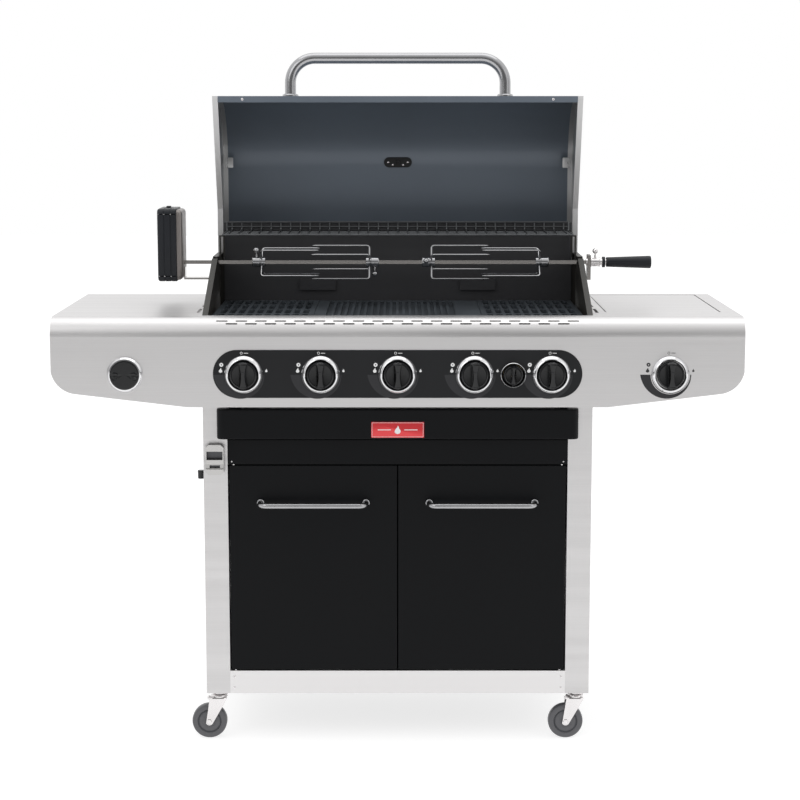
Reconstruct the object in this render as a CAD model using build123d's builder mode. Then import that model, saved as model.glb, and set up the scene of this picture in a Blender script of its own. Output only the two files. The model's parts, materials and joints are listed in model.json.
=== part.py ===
from build123d import *
import os
from math import cos, hypot, radians, sin

os.makedirs("parts", exist_ok=True)

# Gas barbecue grill on a wheeled cabinet, lid open. Millimetres, +Z up.
# X runs left to right, Y from the control panel towards the back, and the origin is on the floor
# under the middle of the object's box. Depths (names ending in _D) are counted from the control
# panel's front face, and FRONT_Y moves them into the frame.

# ---- driving dimensions ----
SHEET = 2.0  # folded steel sheet
RUN = 0.05  # radial clearance of a shaft in its hole
FREE = 0.5  # air between parts that pass each other

OVERALL_HALF = 725.0  # half of the width over both side shelves
COUNTER_Z = 920.0  # top of the panel and the shelves
CART_HALF = 412.0  # outer faces of the firebox walls
WALL_RIM = 12.0  # width of the firebox walls' folded rims
BULLNOSE = 40.0  # radius of the rounded front edge

PANEL_Z0 = 732.0
OPENING_D = 53.0  # front edge of the cooking space
BACK_D = 460.0  # front face of the firebox back wall
FIREBOX_REAR_D = 468.0
SHELF_REAR_D = 520.0

POST = 51.0
POST_X = 385.5
POST_D = (50.5, 454.5)
POST_Z0 = 105.0
DOOR_FACE_D = POST_D[0] - POST / 2
INNER_HALF = POST_X - POST / 2  # clear half width between the posts
RAIL_Z1 = 155.0
FASCIA_Z = (606.0, 658.0)
TRAY_Z = (662.0, 726.0)
TRAY_HALF = 381.0

HINGE_D = 434.0
HINGE_Z = 988.0
RIM_KNEE_D = 300.0  # where the firebox's sloping rim turns level
RIM_Z = 1024.0
ROOF_Z = 1180.0
LID_FRONT_D = 44.5
LID_REAR_D = 494.0
LID_Z0 = 923.0
LID_TILT = radians(3.8)  # lean of the lid's front face when closed
CAP_OUT = 414.4
CAP_IN = 402.0

SPIT_D = 302.0
SPIT_Z = 1012.5
ROD = 8.0  # side of the square spit rod

KNOB_Z = 801.0
BURNER_X = (-322.0, -161.0, 0.0, 161.0, 322.0)
SMALL_KNOB_X = 241.5
SHELF_KNOB_X = 570.0
KNOB_PROUD = 33.0
BEZEL_PROUD = 9.0
STEM_R = 4.0

GRATE_Z1 = 912.0
GRATE_T = 12.0
GRIDDLE_HALF = 180.0
GRATE_D = (64.0, 452.0)
RACK_Z = 1069.0

WHEEL_R = 37.6
WHEEL_W = 22.0
CASTER_TRAIL = 22.0
AXLE_R = 4.0
CASTER_STEM_R = 5.0

GAUGE_T = 10.0
REAR_MOST_D = HINGE_D + ROOF_Z - HINGE_Z + GAUGE_T
FRONT_Y = (KNOB_PROUD - REAR_MOST_D) / 2
RIGHT_AND_LEFT = (1, -1)


# ---- planes and small helpers ----
def floor_plane(z):
    """Horizontal plane; sketch coordinates are X and depth."""
    return Plane(origin=(0, FRONT_Y, z))


def side_plane(x):
    """Plane across X; sketch coordinates are depth and height, and extrusion goes to +X."""
    return Plane(origin=(x, FRONT_Y, 0), x_dir=(0, 1, 0), z_dir=(1, 0, 0))


def face_plane(x, d, z):
    """Plane facing forwards; sketch coordinates are X and height, and extrusion goes forwards."""
    return Plane(origin=(x, FRONT_Y + d, z), x_dir=(1, 0, 0), z_dir=(0, -1, 0))


def lid_plane(x):
    """Plane across X that turns with the open lid.

    Its sketch coordinates are the depth and height from the hinge that a point has when the lid
    is closed, and the open lid stands a quarter turn back from there.
    """
    return Plane(origin=(x, FRONT_Y + HINGE_D, HINGE_Z), x_dir=(0, 0, -1), z_dir=(1, 0, 0))


def lid_point(x, d, z):
    """Place in the open pose of a point given where it is on the closed lid."""
    return (x, FRONT_Y + HINGE_D + z - HINGE_Z, HINGE_Z - d + HINGE_D)


def slab(x, d, z, mode=Mode.ADD):
    """Box given by its two ends in X, depth and height."""
    with Locations(((x[0] + x[1]) / 2, FRONT_Y + (d[0] + d[1]) / 2, (z[0] + z[1]) / 2)):
        Box(x[1] - x[0], d[1] - d[0], z[1] - z[0], mode=mode)


def rod_along_x(x, d, z, radius, mode=Mode.ADD):
    """Round bar along X from x[0] to x[1]."""
    with Locations(((x[0] + x[1]) / 2, FRONT_Y + d, z)):
        Cylinder(radius, x[1] - x[0], rotation=(0, 90, 0), mode=mode)


def rod_along_y(x, d, z, radius, mode=Mode.ADD):
    """Round bar along the depth from d[0] to d[1]."""
    with Locations((x, FRONT_Y + (d[0] + d[1]) / 2, z)):
        Cylinder(radius, d[1] - d[0], rotation=(90, 0, 0), mode=mode)


def rod_along_z(x, d, z, radius, mode=Mode.ADD):
    """Upright round bar from z[0] to z[1]."""
    with Locations((x, FRONT_Y + d, (z[0] + z[1]) / 2)):
        Cylinder(radius, z[1] - z[0], mode=mode)


def both_sides(x0, x1):
    """The same stretch of X on the right and on the left."""
    return ((x0, x1), (-x1, -x0))


# ---- cabinet frame ----
with BuildPart() as corner_posts:
    with BuildSketch(floor_plane(POST_Z0)):
        with Locations(*[(side * POST_X, d) for side in RIGHT_AND_LEFT for d in POST_D]):
            Rectangle(POST, POST)
            Rectangle(POST - 2 * SHEET, POST - 2 * SHEET, mode=Mode.SUBTRACT)
    extrude(amount=PANEL_Z0 - POST_Z0)
    # floor of each post, with the hole for its caster's stem
    with BuildSketch(floor_plane(POST_Z0)):
        with Locations(*[(side * POST_X, d) for side in RIGHT_AND_LEFT for d in POST_D]):
            Rectangle(POST, POST)
            Circle(CASTER_STEM_R + RUN, mode=Mode.SUBTRACT)
    extrude(amount=2 * SHEET)
corner_posts.part.label = "corner_posts"
export_step(corner_posts.part, "parts/corner_posts.step")

RAIL_D = 20.0  # depth of the folded rails
FRAME_REAR_D = POST_D[1] + POST / 2
SIDE_RAIL_D = (POST_D[0] + POST / 2, POST_D[1] - POST / 2)
RUNNER_Z = (664.0, 667.0)
RUNNER_W = 30.0  # width of both legs of the angle rails
with BuildPart() as frame_rails:
    span = (-INNER_HALF, INNER_HALF)
    web = (POST_Z0 + SHEET, RAIL_Z1 - SHEET)
    slab(span, (DOOR_FACE_D, DOOR_FACE_D + RAIL_D), (POST_Z0, RAIL_Z1))
    slab(span, (DOOR_FACE_D + SHEET, DOOR_FACE_D + RAIL_D), web, Mode.SUBTRACT)
    slab(span, (FRAME_REAR_D - RAIL_D, FRAME_REAR_D), (POST_Z0, RAIL_Z1))
    slab(span, (FRAME_REAR_D - RAIL_D, FRAME_REAR_D - SHEET), web, Mode.SUBTRACT)
    outer = POST_X + POST / 2
    for side_span in both_sides(outer - RAIL_D, outer):
        slab(side_span, SIDE_RAIL_D, (POST_Z0, RAIL_Z1))
    for hollow in both_sides(outer - RAIL_D, outer - SHEET):
        slab(hollow, SIDE_RAIL_D, web, Mode.SUBTRACT)
    # angle rails that the drip tray runs on
    runner_d = (DOOR_FACE_D + SHEET, FRAME_REAR_D - RAIL_D)
    for lip in both_sides(INNER_HALF - RUNNER_W, INNER_HALF):
        slab(lip, runner_d, RUNNER_Z)
    for wall in both_sides(INNER_HALF - SHEET, INNER_HALF):
        slab(wall, runner_d, (RUNNER_Z[0], RUNNER_Z[0] + RUNNER_W))
frame_rails.part.label = "frame_rails"
export_step(frame_rails.part, "parts/frame_rails.step")

CABINET_TOP_Z = PANEL_Z0 - 4
SKIN_X = CART_HALF - 4  # outer face of the cabinet's side sheets
FOLD_W = 14.0
with BuildPart() as side_panels:
    for skin in both_sides(SKIN_X - SHEET, SKIN_X):
        slab(skin, SIDE_RAIL_D, (RAIL_Z1, CABINET_TOP_Z))
    # top and bottom folds that stiffen the sheet
    for fold in both_sides(SKIN_X - FOLD_W, SKIN_X):
        slab(fold, SIDE_RAIL_D, (RAIL_Z1, RAIL_Z1 + SHEET))
        slab(fold, SIDE_RAIL_D, (CABINET_TOP_Z - SHEET, CABINET_TOP_Z))
side_panels.part.label = "side_panels"
export_step(side_panels.part, "parts/side_panels.step")

BACK_PANEL_D = FRAME_REAR_D - 6
VENT_W, VENT_H, VENT_PITCH = 60.0, 6.0, 18.0
VENT_GAP = 12.0
VENT_X, VENT_Z = 150.0, 260.0  # middle of each group of air slots
with BuildPart() as back_panel:
    slab((-INNER_HALF, INNER_HALF), (BACK_PANEL_D, BACK_PANEL_D + SHEET), (RAIL_Z1, CABINET_TOP_Z))
    # two groups of air slots for the gas bottle's space
    with BuildSketch(face_plane(0, BACK_PANEL_D + SHEET, VENT_Z)):
        for group_x in (-VENT_X, VENT_X):
            with Locations((group_x, 0)):
                with GridLocations(VENT_W + VENT_GAP, VENT_PITCH, 2, 6):
                    SlotOverall(VENT_W, VENT_H)
    extrude(amount=SHEET, mode=Mode.SUBTRACT)
back_panel.part.label = "back_panel"
export_step(back_panel.part, "parts/back_panel.step")

SHELF_Z = 157.0
SHELF_FRONT_D = DOOR_FACE_D + 26
SHELF_FOLD = 20.0
with BuildPart() as bottom_shelf:
    slab((-INNER_HALF, INNER_HALF), (SHELF_FRONT_D, BACK_PANEL_D), (SHELF_Z - SHEET, SHELF_Z))
    for d in (SHELF_FRONT_D, FRAME_REAR_D - RAIL_D - 2 * SHEET):
        slab((-INNER_HALF, INNER_HALF), (d, d + SHEET), (SHELF_Z - SHELF_FOLD, SHELF_Z))
bottom_shelf.part.label = "bottom_shelf"
export_step(bottom_shelf.part, "parts/bottom_shelf.step")

with BuildPart() as front_fascia:
    slab((-INNER_HALF, INNER_HALF), (DOOR_FACE_D, DOOR_FACE_D + RAIL_D), FASCIA_Z)
    inside = (FASCIA_Z[0] + SHEET, FASCIA_Z[1] - SHEET)
    slab((-INNER_HALF, INNER_HALF), (DOOR_FACE_D + SHEET, DOOR_FACE_D + RAIL_D), inside, Mode.SUBTRACT)
front_fascia.part.label = "front_fascia"
export_step(front_fascia.part, "parts/front_fascia.step")

# ---- doors ----
DOOR_EDGE = 357.0  # outer edge of each door from the middle
DOOR_GAP = 1.0  # half of the gap between the doors
DOOR_Z = (157.5, 603.5)
DOOR_T = 20.0
DOOR_PIN_X = 348.0
DOOR_PIN_D = DOOR_FACE_D + 6
DOOR_PIN_R = 3.0
DOOR_HANDLE_Z = 523.0
DOOR_HANDLE_HALF = 112.0  # half length along the bar's centreline
DOOR_HANDLE_R = 6.0
DOOR_HANDLE_OUT = 35.0
DOOR_HANDLE_BEND = 16.0
FOLD_R = 1.5  # outside radius of a folded sheet edge

for side, name in ((-1, "left_door"), (1, "right_door")):
    span = sorted((side * DOOR_EDGE, side * DOOR_GAP))
    hollow = (span[0] + SHEET, span[1] - SHEET)
    hollow_z = (DOOR_Z[0] + SHEET, DOOR_Z[1] - SHEET)
    with BuildPart() as door:
        slab(span, (DOOR_FACE_D, DOOR_FACE_D + DOOR_T), DOOR_Z)
        front_edges = door.edges().group_by(Axis.Y)[0]
        fillet(front_edges, FOLD_R)
        slab(hollow, (DOOR_FACE_D + SHEET, DOOR_FACE_D + DOOR_T), hollow_z, Mode.SUBTRACT)
        rod_along_z(side * DOOR_PIN_X, DOOR_PIN_D, DOOR_Z, DOOR_PIN_R + RUN, Mode.SUBTRACT)
    door.part.label = name
    export_step(door.part, f"parts/{name}.step")

    centre_x = side * (DOOR_EDGE + DOOR_GAP) / 2
    with BuildPart() as door_handle:
        bar_plane = Plane(origin=(centre_x, FRONT_Y + DOOR_FACE_D, DOOR_HANDLE_Z))
        with BuildLine(bar_plane) as bar_path:
            FilletPolyline(
                (-DOOR_HANDLE_HALF, 0),
                (-DOOR_HANDLE_HALF, -DOOR_HANDLE_OUT),
                (DOOR_HANDLE_HALF, -DOOR_HANDLE_OUT),
                (DOOR_HANDLE_HALF, 0),
                radius=DOOR_HANDLE_BEND,
            )
        with BuildSketch(Plane(origin=bar_path.wires()[0] @ 0, z_dir=(0, -1, 0))):
            Circle(DOOR_HANDLE_R)
        sweep(path=bar_path.wires()[0])
    door_handle.part.label = f"{name}_handle"
    export_step(door_handle.part, f"parts/{name}_handle.step")

# ---- drip tray drawer ----
TRAY_FRONT_D = (8.0, 24.0)
TRAY_END_R = 13.0
TRAY_EDGE_R = 3.0
TRAY_END_W = 16.0  # solid ends of the folded front
PAN_HALF = 340.0
PAN_Z = (RUNNER_Z[1] + FREE, 700.0)
PAN_D = (TRAY_FRONT_D[1], 435.0)
PAN_CORNER_R = 8.0
BADGE = (111.0, 33.5)
BADGE_Z = 683.0
BADGE_T = 1.5
BADGE_CORNER_R = 1.5
with BuildPart() as tray_front:
    slab((-TRAY_HALF, TRAY_HALF), TRAY_FRONT_D, TRAY_Z)
    end_edges = tray_front.edges().filter_by(Axis.Z).group_by(Axis.Y)[0]
    fillet(end_edges, TRAY_END_R)
    long_edges = tray_front.edges().group_by(Axis.Y)[0].filter_by(Axis.X)
    fillet(long_edges, TRAY_EDGE_R)
    hollow_x = (-TRAY_HALF + TRAY_END_W, TRAY_HALF - TRAY_END_W)
    hollow_z = (TRAY_Z[0] + SHEET, TRAY_Z[1] - SHEET)
    slab(hollow_x, (TRAY_FRONT_D[0] + SHEET, TRAY_FRONT_D[1]), hollow_z, Mode.SUBTRACT)
    # web that the pan is riveted to
    slab((-PAN_HALF, PAN_HALF), (TRAY_FRONT_D[1] - SHEET, TRAY_FRONT_D[1]), (TRAY_Z[0], PAN_Z[1]))
tray_front.part.label = "tray_front"
export_step(tray_front.part, "parts/tray_front.step")

with BuildPart() as drip_tray:
    slab((-PAN_HALF, PAN_HALF), PAN_D, PAN_Z)
    fillet(drip_tray.edges().filter_by(Axis.Z), PAN_CORNER_R)
    pan_inside_d = (PAN_D[0] + SHEET, PAN_D[1] - SHEET)
    slab((-PAN_HALF + SHEET, PAN_HALF - SHEET), pan_inside_d, (PAN_Z[0] + SHEET, PAN_Z[1]), Mode.SUBTRACT)
drip_tray.part.label = "drip_tray"
export_step(drip_tray.part, "parts/drip_tray.step")

with BuildPart() as badge:
    with BuildSketch(face_plane(0, TRAY_FRONT_D[0], BADGE_Z)):
        RectangleRounded(*BADGE, BADGE_CORNER_R)
    extrude(amount=BADGE_T)
badge.part.label = "badge"
export_step(badge.part, "parts/badge.step")

# ---- control panel ----
SLOT_PITCH = 40.8
SLOT_LENGTH = 24.5
SLOT_W = 3.5
SLOT_ROWS = ((19, 37.0), (18, 48.0))  # number of slots and angle from the top of the bullnose
STEM_HOLE_R = 7.0
INSERT_HALF = 386.0
INSERT_Z = (752.0, 853.0)
INSERT_T = 2.0
INSERT_EDGE_R = 0.8


def bullnose_section(inset, z0, rear_d):
    """Depth and height section of the panel or a shelf, from its foot over the bullnose to the rear."""
    with BuildSketch() as section:
        with BuildLine():
            radius = BULLNOSE - inset
            foot = (inset, z0)
            shoulder = (inset, COUNTER_Z - BULLNOSE)
            crown = (BULLNOSE, COUNTER_Z - inset)
            Line(foot, shoulder)
            RadiusArc(shoulder, crown, radius)
            Polyline(crown, (rear_d, COUNTER_Z - inset), (rear_d, z0), foot)
        make_face()
    return section.sketch


def bullnose_point(angle):
    """Depth and height on the bullnose, an angle in degrees forward from its top."""
    turn = radians(angle)
    return (BULLNOSE - BULLNOSE * sin(turn), COUNTER_Z - BULLNOSE + BULLNOSE * cos(turn))


with BuildPart() as control_panel:
    with BuildSketch(side_plane(-CART_HALF)):
        add(bullnose_section(0, PANEL_Z0, OPENING_D))
        add(bullnose_section(SHEET, PANEL_Z0 + SHEET, OPENING_D), mode=Mode.SUBTRACT)
    extrude(amount=2 * CART_HALF)
    slab((-CART_HALF, CART_HALF), (DOOR_FACE_D, OPENING_D), (PANEL_Z0, PANEL_Z0 + SHEET), Mode.SUBTRACT)
    for count, angle in SLOT_ROWS:
        slot_d, slot_z = bullnose_point(angle)
        tilt = radians(angle)
        cutting_plane = Plane(
            origin=(0, FRONT_Y + slot_d, slot_z), x_dir=(1, 0, 0), z_dir=(0, -sin(tilt), cos(tilt))
        )
        with BuildSketch(cutting_plane.offset(SHEET)):
            with GridLocations(SLOT_PITCH, 0, count, 1):
                SlotOverall(SLOT_LENGTH, SLOT_W)
        extrude(amount=-3 * SHEET, mode=Mode.SUBTRACT)
    for x in BURNER_X + (SMALL_KNOB_X,):
        rod_along_y(x, (-SHEET, 2 * SHEET), KNOB_Z, STEM_HOLE_R, Mode.SUBTRACT)
control_panel.part.label = "control_panel"
export_step(control_panel.part, "parts/control_panel.step")

with BuildPart() as panel_insert:
    insert_height = INSERT_Z[1] - INSERT_Z[0]
    with BuildSketch(face_plane(0, 0, sum(INSERT_Z) / 2)):
        SlotOverall(2 * INSERT_HALF, insert_height)
    extrude(amount=INSERT_T)
    fillet(panel_insert.edges().group_by(Axis.Y)[0], INSERT_EDGE_R)
    for x in BURNER_X + (SMALL_KNOB_X,):
        rod_along_y(x, (-2 * INSERT_T, INSERT_T), KNOB_Z, STEM_HOLE_R, Mode.SUBTRACT)
panel_insert.part.label = "panel_insert"
export_step(panel_insert.part, "parts/panel_insert.step")

# ---- knobs, their bezels and the igniter's battery cap ----
BEZEL_R, BEZEL_BORE = 40.0, 30.5
SMALL_BEZEL_R, SMALL_BEZEL_BORE = 27.0, 21.5
CAP_BEZEL_R, CAP_BEZEL_BORE = 38.0, 31.5
BEZEL_FOOT, BEZEL_LIP = 2.0, 3.0
KNOB_R, SMALL_KNOB_R = 28.5, 20.0
KNOB_BACK = 3.5  # air between the panel and the back of a knob
KNOB_EDGE_R = 1.5
SKIRT_H, SKIRT_STEP, CROWN_H = 9.0, 4.0, 5.0
GRIP_SHARE = 0.46  # width of a knob's bar as a share of its radius
STEM_TIP = 20.0  # how far the valve stems stand in front of the panel
CAP_R = 31.0
CAP_FRONT = 12.0
HOLDER_R, HOLDER_D = 16.0, 60.0
HOLDER_FLANGE_D = (-3.0, -1.0)
PLUG_R = 12.0
RECESS_X, RECESS_R = 20.0, 8.0  # finger recesses of the battery cap


def bezel_ring(x, seat, outer_r, bore_r):
    """Bevelled ring that stands on the panel round a knob, seat being the height of its foot."""
    profile_plane = Plane(origin=(x, FRONT_Y - seat, KNOB_Z), x_dir=(1, 0, 0), z_dir=(0, 0, 1))
    with BuildPart(mode=Mode.PRIVATE) as ring:
        with BuildSketch(profile_plane):
            with BuildLine():
                Polyline(
                    (bore_r, 0),
                    (outer_r, 0),
                    (outer_r, -BEZEL_FOOT),
                    (outer_r - BEZEL_LIP, -BEZEL_PROUD / 2),
                    (bore_r + BEZEL_LIP, -BEZEL_PROUD),
                    (bore_r, -BEZEL_PROUD),
                    close=True,
                )
            make_face()
        revolve(axis=Axis((x, FRONT_Y, KNOB_Z), (0, 1, 0)))
    return ring.part


with BuildPart() as knob_bezels:
    for x in BURNER_X:
        add(bezel_ring(x, INSERT_T, BEZEL_R, BEZEL_BORE))
    add(bezel_ring(SMALL_KNOB_X, INSERT_T, SMALL_BEZEL_R, SMALL_BEZEL_BORE))
    add(bezel_ring(SHELF_KNOB_X, 0, BEZEL_R, BEZEL_BORE))
    add(bezel_ring(-SHELF_KNOB_X, 0, CAP_BEZEL_R, CAP_BEZEL_BORE))
    # battery holder behind the left shelf's bezel, with a flange in the bezel's foot
    rod_along_y(-SHELF_KNOB_X, (HOLDER_FLANGE_D[1], HOLDER_D), KNOB_Z, HOLDER_R)
    rod_along_y(-SHELF_KNOB_X, HOLDER_FLANGE_D, KNOB_Z, CAP_BEZEL_BORE + 1)
    rod_along_y(-SHELF_KNOB_X, (HOLDER_FLANGE_D[0], HOLDER_D - 5), KNOB_Z, PLUG_R + RUN, Mode.SUBTRACT)
knob_bezels.part.label = "knob_bezels"
export_step(knob_bezels.part, "parts/knob_bezels.step")


def turn_knob(x, seat, radius):
    """Round skirt with a bar grip across it and a blind bore for the valve stem."""
    back = -seat - KNOB_BACK
    with BuildPart(mode=Mode.PRIVATE) as knob:
        with BuildSketch(face_plane(x, back, KNOB_Z)):
            Circle(radius)
        extrude(amount=SKIRT_H)
        with BuildSketch(face_plane(x, back - SKIRT_H, KNOB_Z)):
            Circle(radius - SKIRT_STEP)
        extrude(amount=CROWN_H)
        with BuildSketch(face_plane(x, back, KNOB_Z)):
            SlotOverall(2 * (radius - FOLD_R), GRIP_SHARE * radius, rotation=90)
        extrude(amount=KNOB_PROUD + back)
        top_edges = knob.edges().group_by(Axis.Y)[0]
        fillet(top_edges, KNOB_EDGE_R)
        rod_along_y(x, (-STEM_TIP - 1, back), KNOB_Z, STEM_R + RUN, Mode.SUBTRACT)
    return knob.part


KNOBS = [(f"knob_{i + 1}", x, INSERT_T, KNOB_R) for i, x in enumerate(BURNER_X)]
KNOBS += [("small_knob", SMALL_KNOB_X, INSERT_T, SMALL_KNOB_R), ("side_knob", SHELF_KNOB_X, 0, KNOB_R)]
for name, x, seat, radius in KNOBS:
    with BuildPart() as knob_part:
        add(turn_knob(x, seat, radius))
    knob_part.part.label = name
    export_step(knob_part.part, f"parts/{name}.step")

with BuildPart() as battery_cap:
    cap_back = HOLDER_FLANGE_D[0] - FREE
    rod_along_y(-SHELF_KNOB_X, (-CAP_FRONT, cap_back), KNOB_Z, CAP_R)
    fillet(battery_cap.edges().group_by(Axis.Y)[0], KNOB_EDGE_R)
    # finger recesses either side of a bar
    for side in RIGHT_AND_LEFT:
        recess_d = (-CAP_FRONT - RECESS_R / 2, -CAP_FRONT + RECESS_R / 2)
        rod_along_y(-SHELF_KNOB_X + side * RECESS_X, recess_d, KNOB_Z, RECESS_R, Mode.SUBTRACT)
    rod_along_y(-SHELF_KNOB_X, (cap_back, HOLDER_D - 10), KNOB_Z, PLUG_R)
battery_cap.part.label = "battery_cap"
export_step(battery_cap.part, "parts/battery_cap.step")

# ---- firebox ----
WALL_IN = CART_HALF - WALL_RIM
NOTCH_W = 18.0
REAR_ROUND = 43.0  # middle of the rounded rear corner, degrees behind the hinge's vertical


def firebox_outline():
    """Depth and height outline of a firebox side wall, round about the lid hinge at its rear top."""
    reach = FIREBOX_REAR_D - HINGE_D
    rise = RIM_Z - HINGE_Z
    turn = radians(REAR_ROUND)
    shoulder = (HINGE_D + reach * sin(turn), HINGE_Z + (reach + rise) / 2 * cos(turn))
    with BuildSketch() as outline:
        with BuildLine():
            front_foot = (OPENING_D, PANEL_Z0)
            front_top = (OPENING_D, COUNTER_Z)
            knee = (RIM_KNEE_D, RIM_Z)
            crown = (HINGE_D, RIM_Z)
            rear = (FIREBOX_REAR_D, HINGE_Z)
            Polyline(front_foot, front_top, knee, crown)
            ThreePointArc(crown, shoulder, rear)
            Polyline(rear, (FIREBOX_REAR_D, PANEL_Z0), front_foot)
        make_face()
    return outline.sketch


with BuildPart() as firebox_sides:
    for outer_x, hollow_x in ((-CART_HALF, -CART_HALF + SHEET), (WALL_IN, WALL_IN)):
        with BuildSketch(side_plane(outer_x)):
            add(firebox_outline())
        extrude(amount=WALL_RIM)
        with BuildSketch(side_plane(hollow_x)):
            offset(firebox_outline(), amount=-SHEET)
        extrude(amount=WALL_RIM - SHEET, mode=Mode.SUBTRACT)
    for wall in both_sides(WALL_IN, CART_HALF):
        notch_d = (SPIT_D - NOTCH_W / 2, SPIT_D + NOTCH_W / 2)
        slab(wall, notch_d, (SPIT_Z - NOTCH_W / 2, RIM_Z + SHEET), Mode.SUBTRACT)
firebox_sides.part.label = "firebox_sides"
export_step(firebox_sides.part, "parts/firebox_sides.step")

BACK_TOP_Z = 1090.0
BAND_Z0 = 1073.0
BAND_T = 3.0
LEDGE_Z = GRATE_Z1 - GRATE_T - FREE
LEDGE_W = 12.0
HOOD_X, HOOD_Z = (143.0, 225.0), (936.0, 962.0)
HOOD_T, HOOD_END = 7.0, 6.0
with BuildPart() as firebox_back:
    back_x = (-WALL_IN + FREE, WALL_IN - FREE)
    slab(back_x, (BACK_D, BACK_D + SHEET), (PANEL_Z0 + 10, BACK_TOP_Z))
    # folded band along the top, and the ledge that the grates' rear ends rest on
    slab(back_x, (BACK_D - BAND_T, BACK_D), (BAND_Z0, BACK_TOP_Z))
    slab(back_x, (GRATE_D[1] - LEDGE_W, BACK_D), (LEDGE_Z - SHEET, LEDGE_Z))
    # two small hooded plates low on the wall
    for plate in both_sides(*HOOD_X):
        mouth = (plate[0] + HOOD_END, plate[1] - HOOD_END)
        slab(plate, (BACK_D - HOOD_T, BACK_D), HOOD_Z)
        mouth_d = (BACK_D - HOOD_T + SHEET, BACK_D - SHEET)
        slab(mouth, mouth_d, (sum(HOOD_Z) / 2 + 1, HOOD_Z[1]), Mode.SUBTRACT)
firebox_back.part.label = "firebox_back"
export_step(firebox_back.part, "parts/firebox_back.step")

BURNER_Z = KNOB_Z
BURNER_R = 12.5
TUB_FLOOR_Z = (745.0, 760.0)
OUTLET_HALF = 60.0
with BuildPart() as firebox_tub:
    tub_x = WALL_IN - FREE
    slab((-tub_x, tub_x), (OPENING_D, OPENING_D + SHEET), (TUB_FLOOR_Z[0], COUNTER_Z - SHEET))
    slab((-tub_x, tub_x), (OPENING_D, GRATE_D[0] + LEDGE_W), (LEDGE_Z - SHEET, LEDGE_Z))
    # floor falling from both sides to the grease outlet in the middle
    with BuildSketch(face_plane(0, OPENING_D, 0)):
        for side in RIGHT_AND_LEFT:
            with BuildLine():
                Polyline(
                    (side * OUTLET_HALF, TUB_FLOOR_Z[0]),
                    (side * tub_x, TUB_FLOOR_Z[1]),
                    (side * tub_x, TUB_FLOOR_Z[1] + SHEET),
                    (side * OUTLET_HALF, TUB_FLOOR_Z[0] + SHEET),
                    close=True,
                )
            make_face()
    extrude(amount=-(BACK_D - OPENING_D))
    for d in (OPENING_D + SHEET, BACK_D - OUTLET_HALF):
        outlet_lip = (d, d + OUTLET_HALF - SHEET)
        slab((-OUTLET_HALF, OUTLET_HALF), outlet_lip, (TUB_FLOOR_Z[0], TUB_FLOOR_Z[0] + SHEET))
    for x in BURNER_X:
        rod_along_y(x, (OPENING_D - SHEET, OPENING_D + 2 * SHEET), BURNER_Z, BURNER_R + 1, Mode.SUBTRACT)
firebox_tub.part.label = "firebox_tub"
export_step(firebox_tub.part, "parts/firebox_tub.step")

# ---- burners and gas ----
TUBE_D = (58.0, 440.0)
TUBE_WALL = 1.5
FOOT = (3.0, 8.0)  # half width and half height of a burner's rear foot
with BuildPart() as burner_tubes:
    for x in BURNER_X:
        rod_along_y(x, TUBE_D, BURNER_Z, BURNER_R)
        bore_d = (TUBE_D[0], TUBE_D[1] - TUBE_WALL)
        rod_along_y(x, bore_d, BURNER_Z, BURNER_R - TUBE_WALL, Mode.SUBTRACT)
        # rear foot that sits on the back wall
        slab((x - FOOT[0], x + FOOT[0]), (TUBE_D[1], BACK_D), (BURNER_Z - FOOT[1], BURNER_Z + FOOT[1]))
burner_tubes.part.label = "burner_tubes"
export_step(burner_tubes.part, "parts/burner_tubes.step")

TAMER_HALF = 50.0
TAMER_Z = (832.0, 856.0)
TAMER_D = (TUBE_D[0] + 14, BACK_D - 4)
with BuildPart() as flame_tamers:
    with BuildSketch(face_plane(0, TAMER_D[0], 0)):
        for x in BURNER_X:
            with BuildLine():
                Polyline(
                    (x - TAMER_HALF, TAMER_Z[0]),
                    (x, TAMER_Z[1]),
                    (x + TAMER_HALF, TAMER_Z[0]),
                    (x + TAMER_HALF, TAMER_Z[0] - SHEET),
                    (x, TAMER_Z[1] - SHEET),
                    (x - TAMER_HALF, TAMER_Z[0] - SHEET),
                    close=True,
                )
            make_face()
    extrude(amount=-(TAMER_D[1] - TAMER_D[0]))
flame_tamers.part.label = "flame_tamers"
export_step(flame_tamers.part, "parts/flame_tamers.step")

PIPE_D = 38.0
PIPE_R = 9.0
PIPE_X = (-385.0, 590.0)
VALVE = 11.0  # half width of a valve body
VALVE_D = 12.0
JET_R = 3.0
UNION_R, UNION_L = 12.0, 16.0
with BuildPart() as gas_manifold:
    rod_along_x(PIPE_X, PIPE_D, KNOB_Z, PIPE_R)
    for x in BURNER_X + (SMALL_KNOB_X, SHELF_KNOB_X):
        slab((x - VALVE, x + VALVE), (VALVE_D, PIPE_D + PIPE_R + 2), (KNOB_Z - VALVE, KNOB_Z + VALVE))
        rod_along_y(x, (-STEM_TIP, VALVE_D), KNOB_Z, STEM_R)
    for x in BURNER_X:
        rod_along_y(x, (PIPE_D, TUBE_D[0] + 8), BURNER_Z, JET_R)
    # inlet union for the gas hose at the left end
    rod_along_x((PIPE_X[0] - UNION_L, PIPE_X[0]), PIPE_D, KNOB_Z, UNION_R)
gas_manifold.part.label = "gas_manifold"
export_step(gas_manifold.part, "parts/gas_manifold.step")

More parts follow.
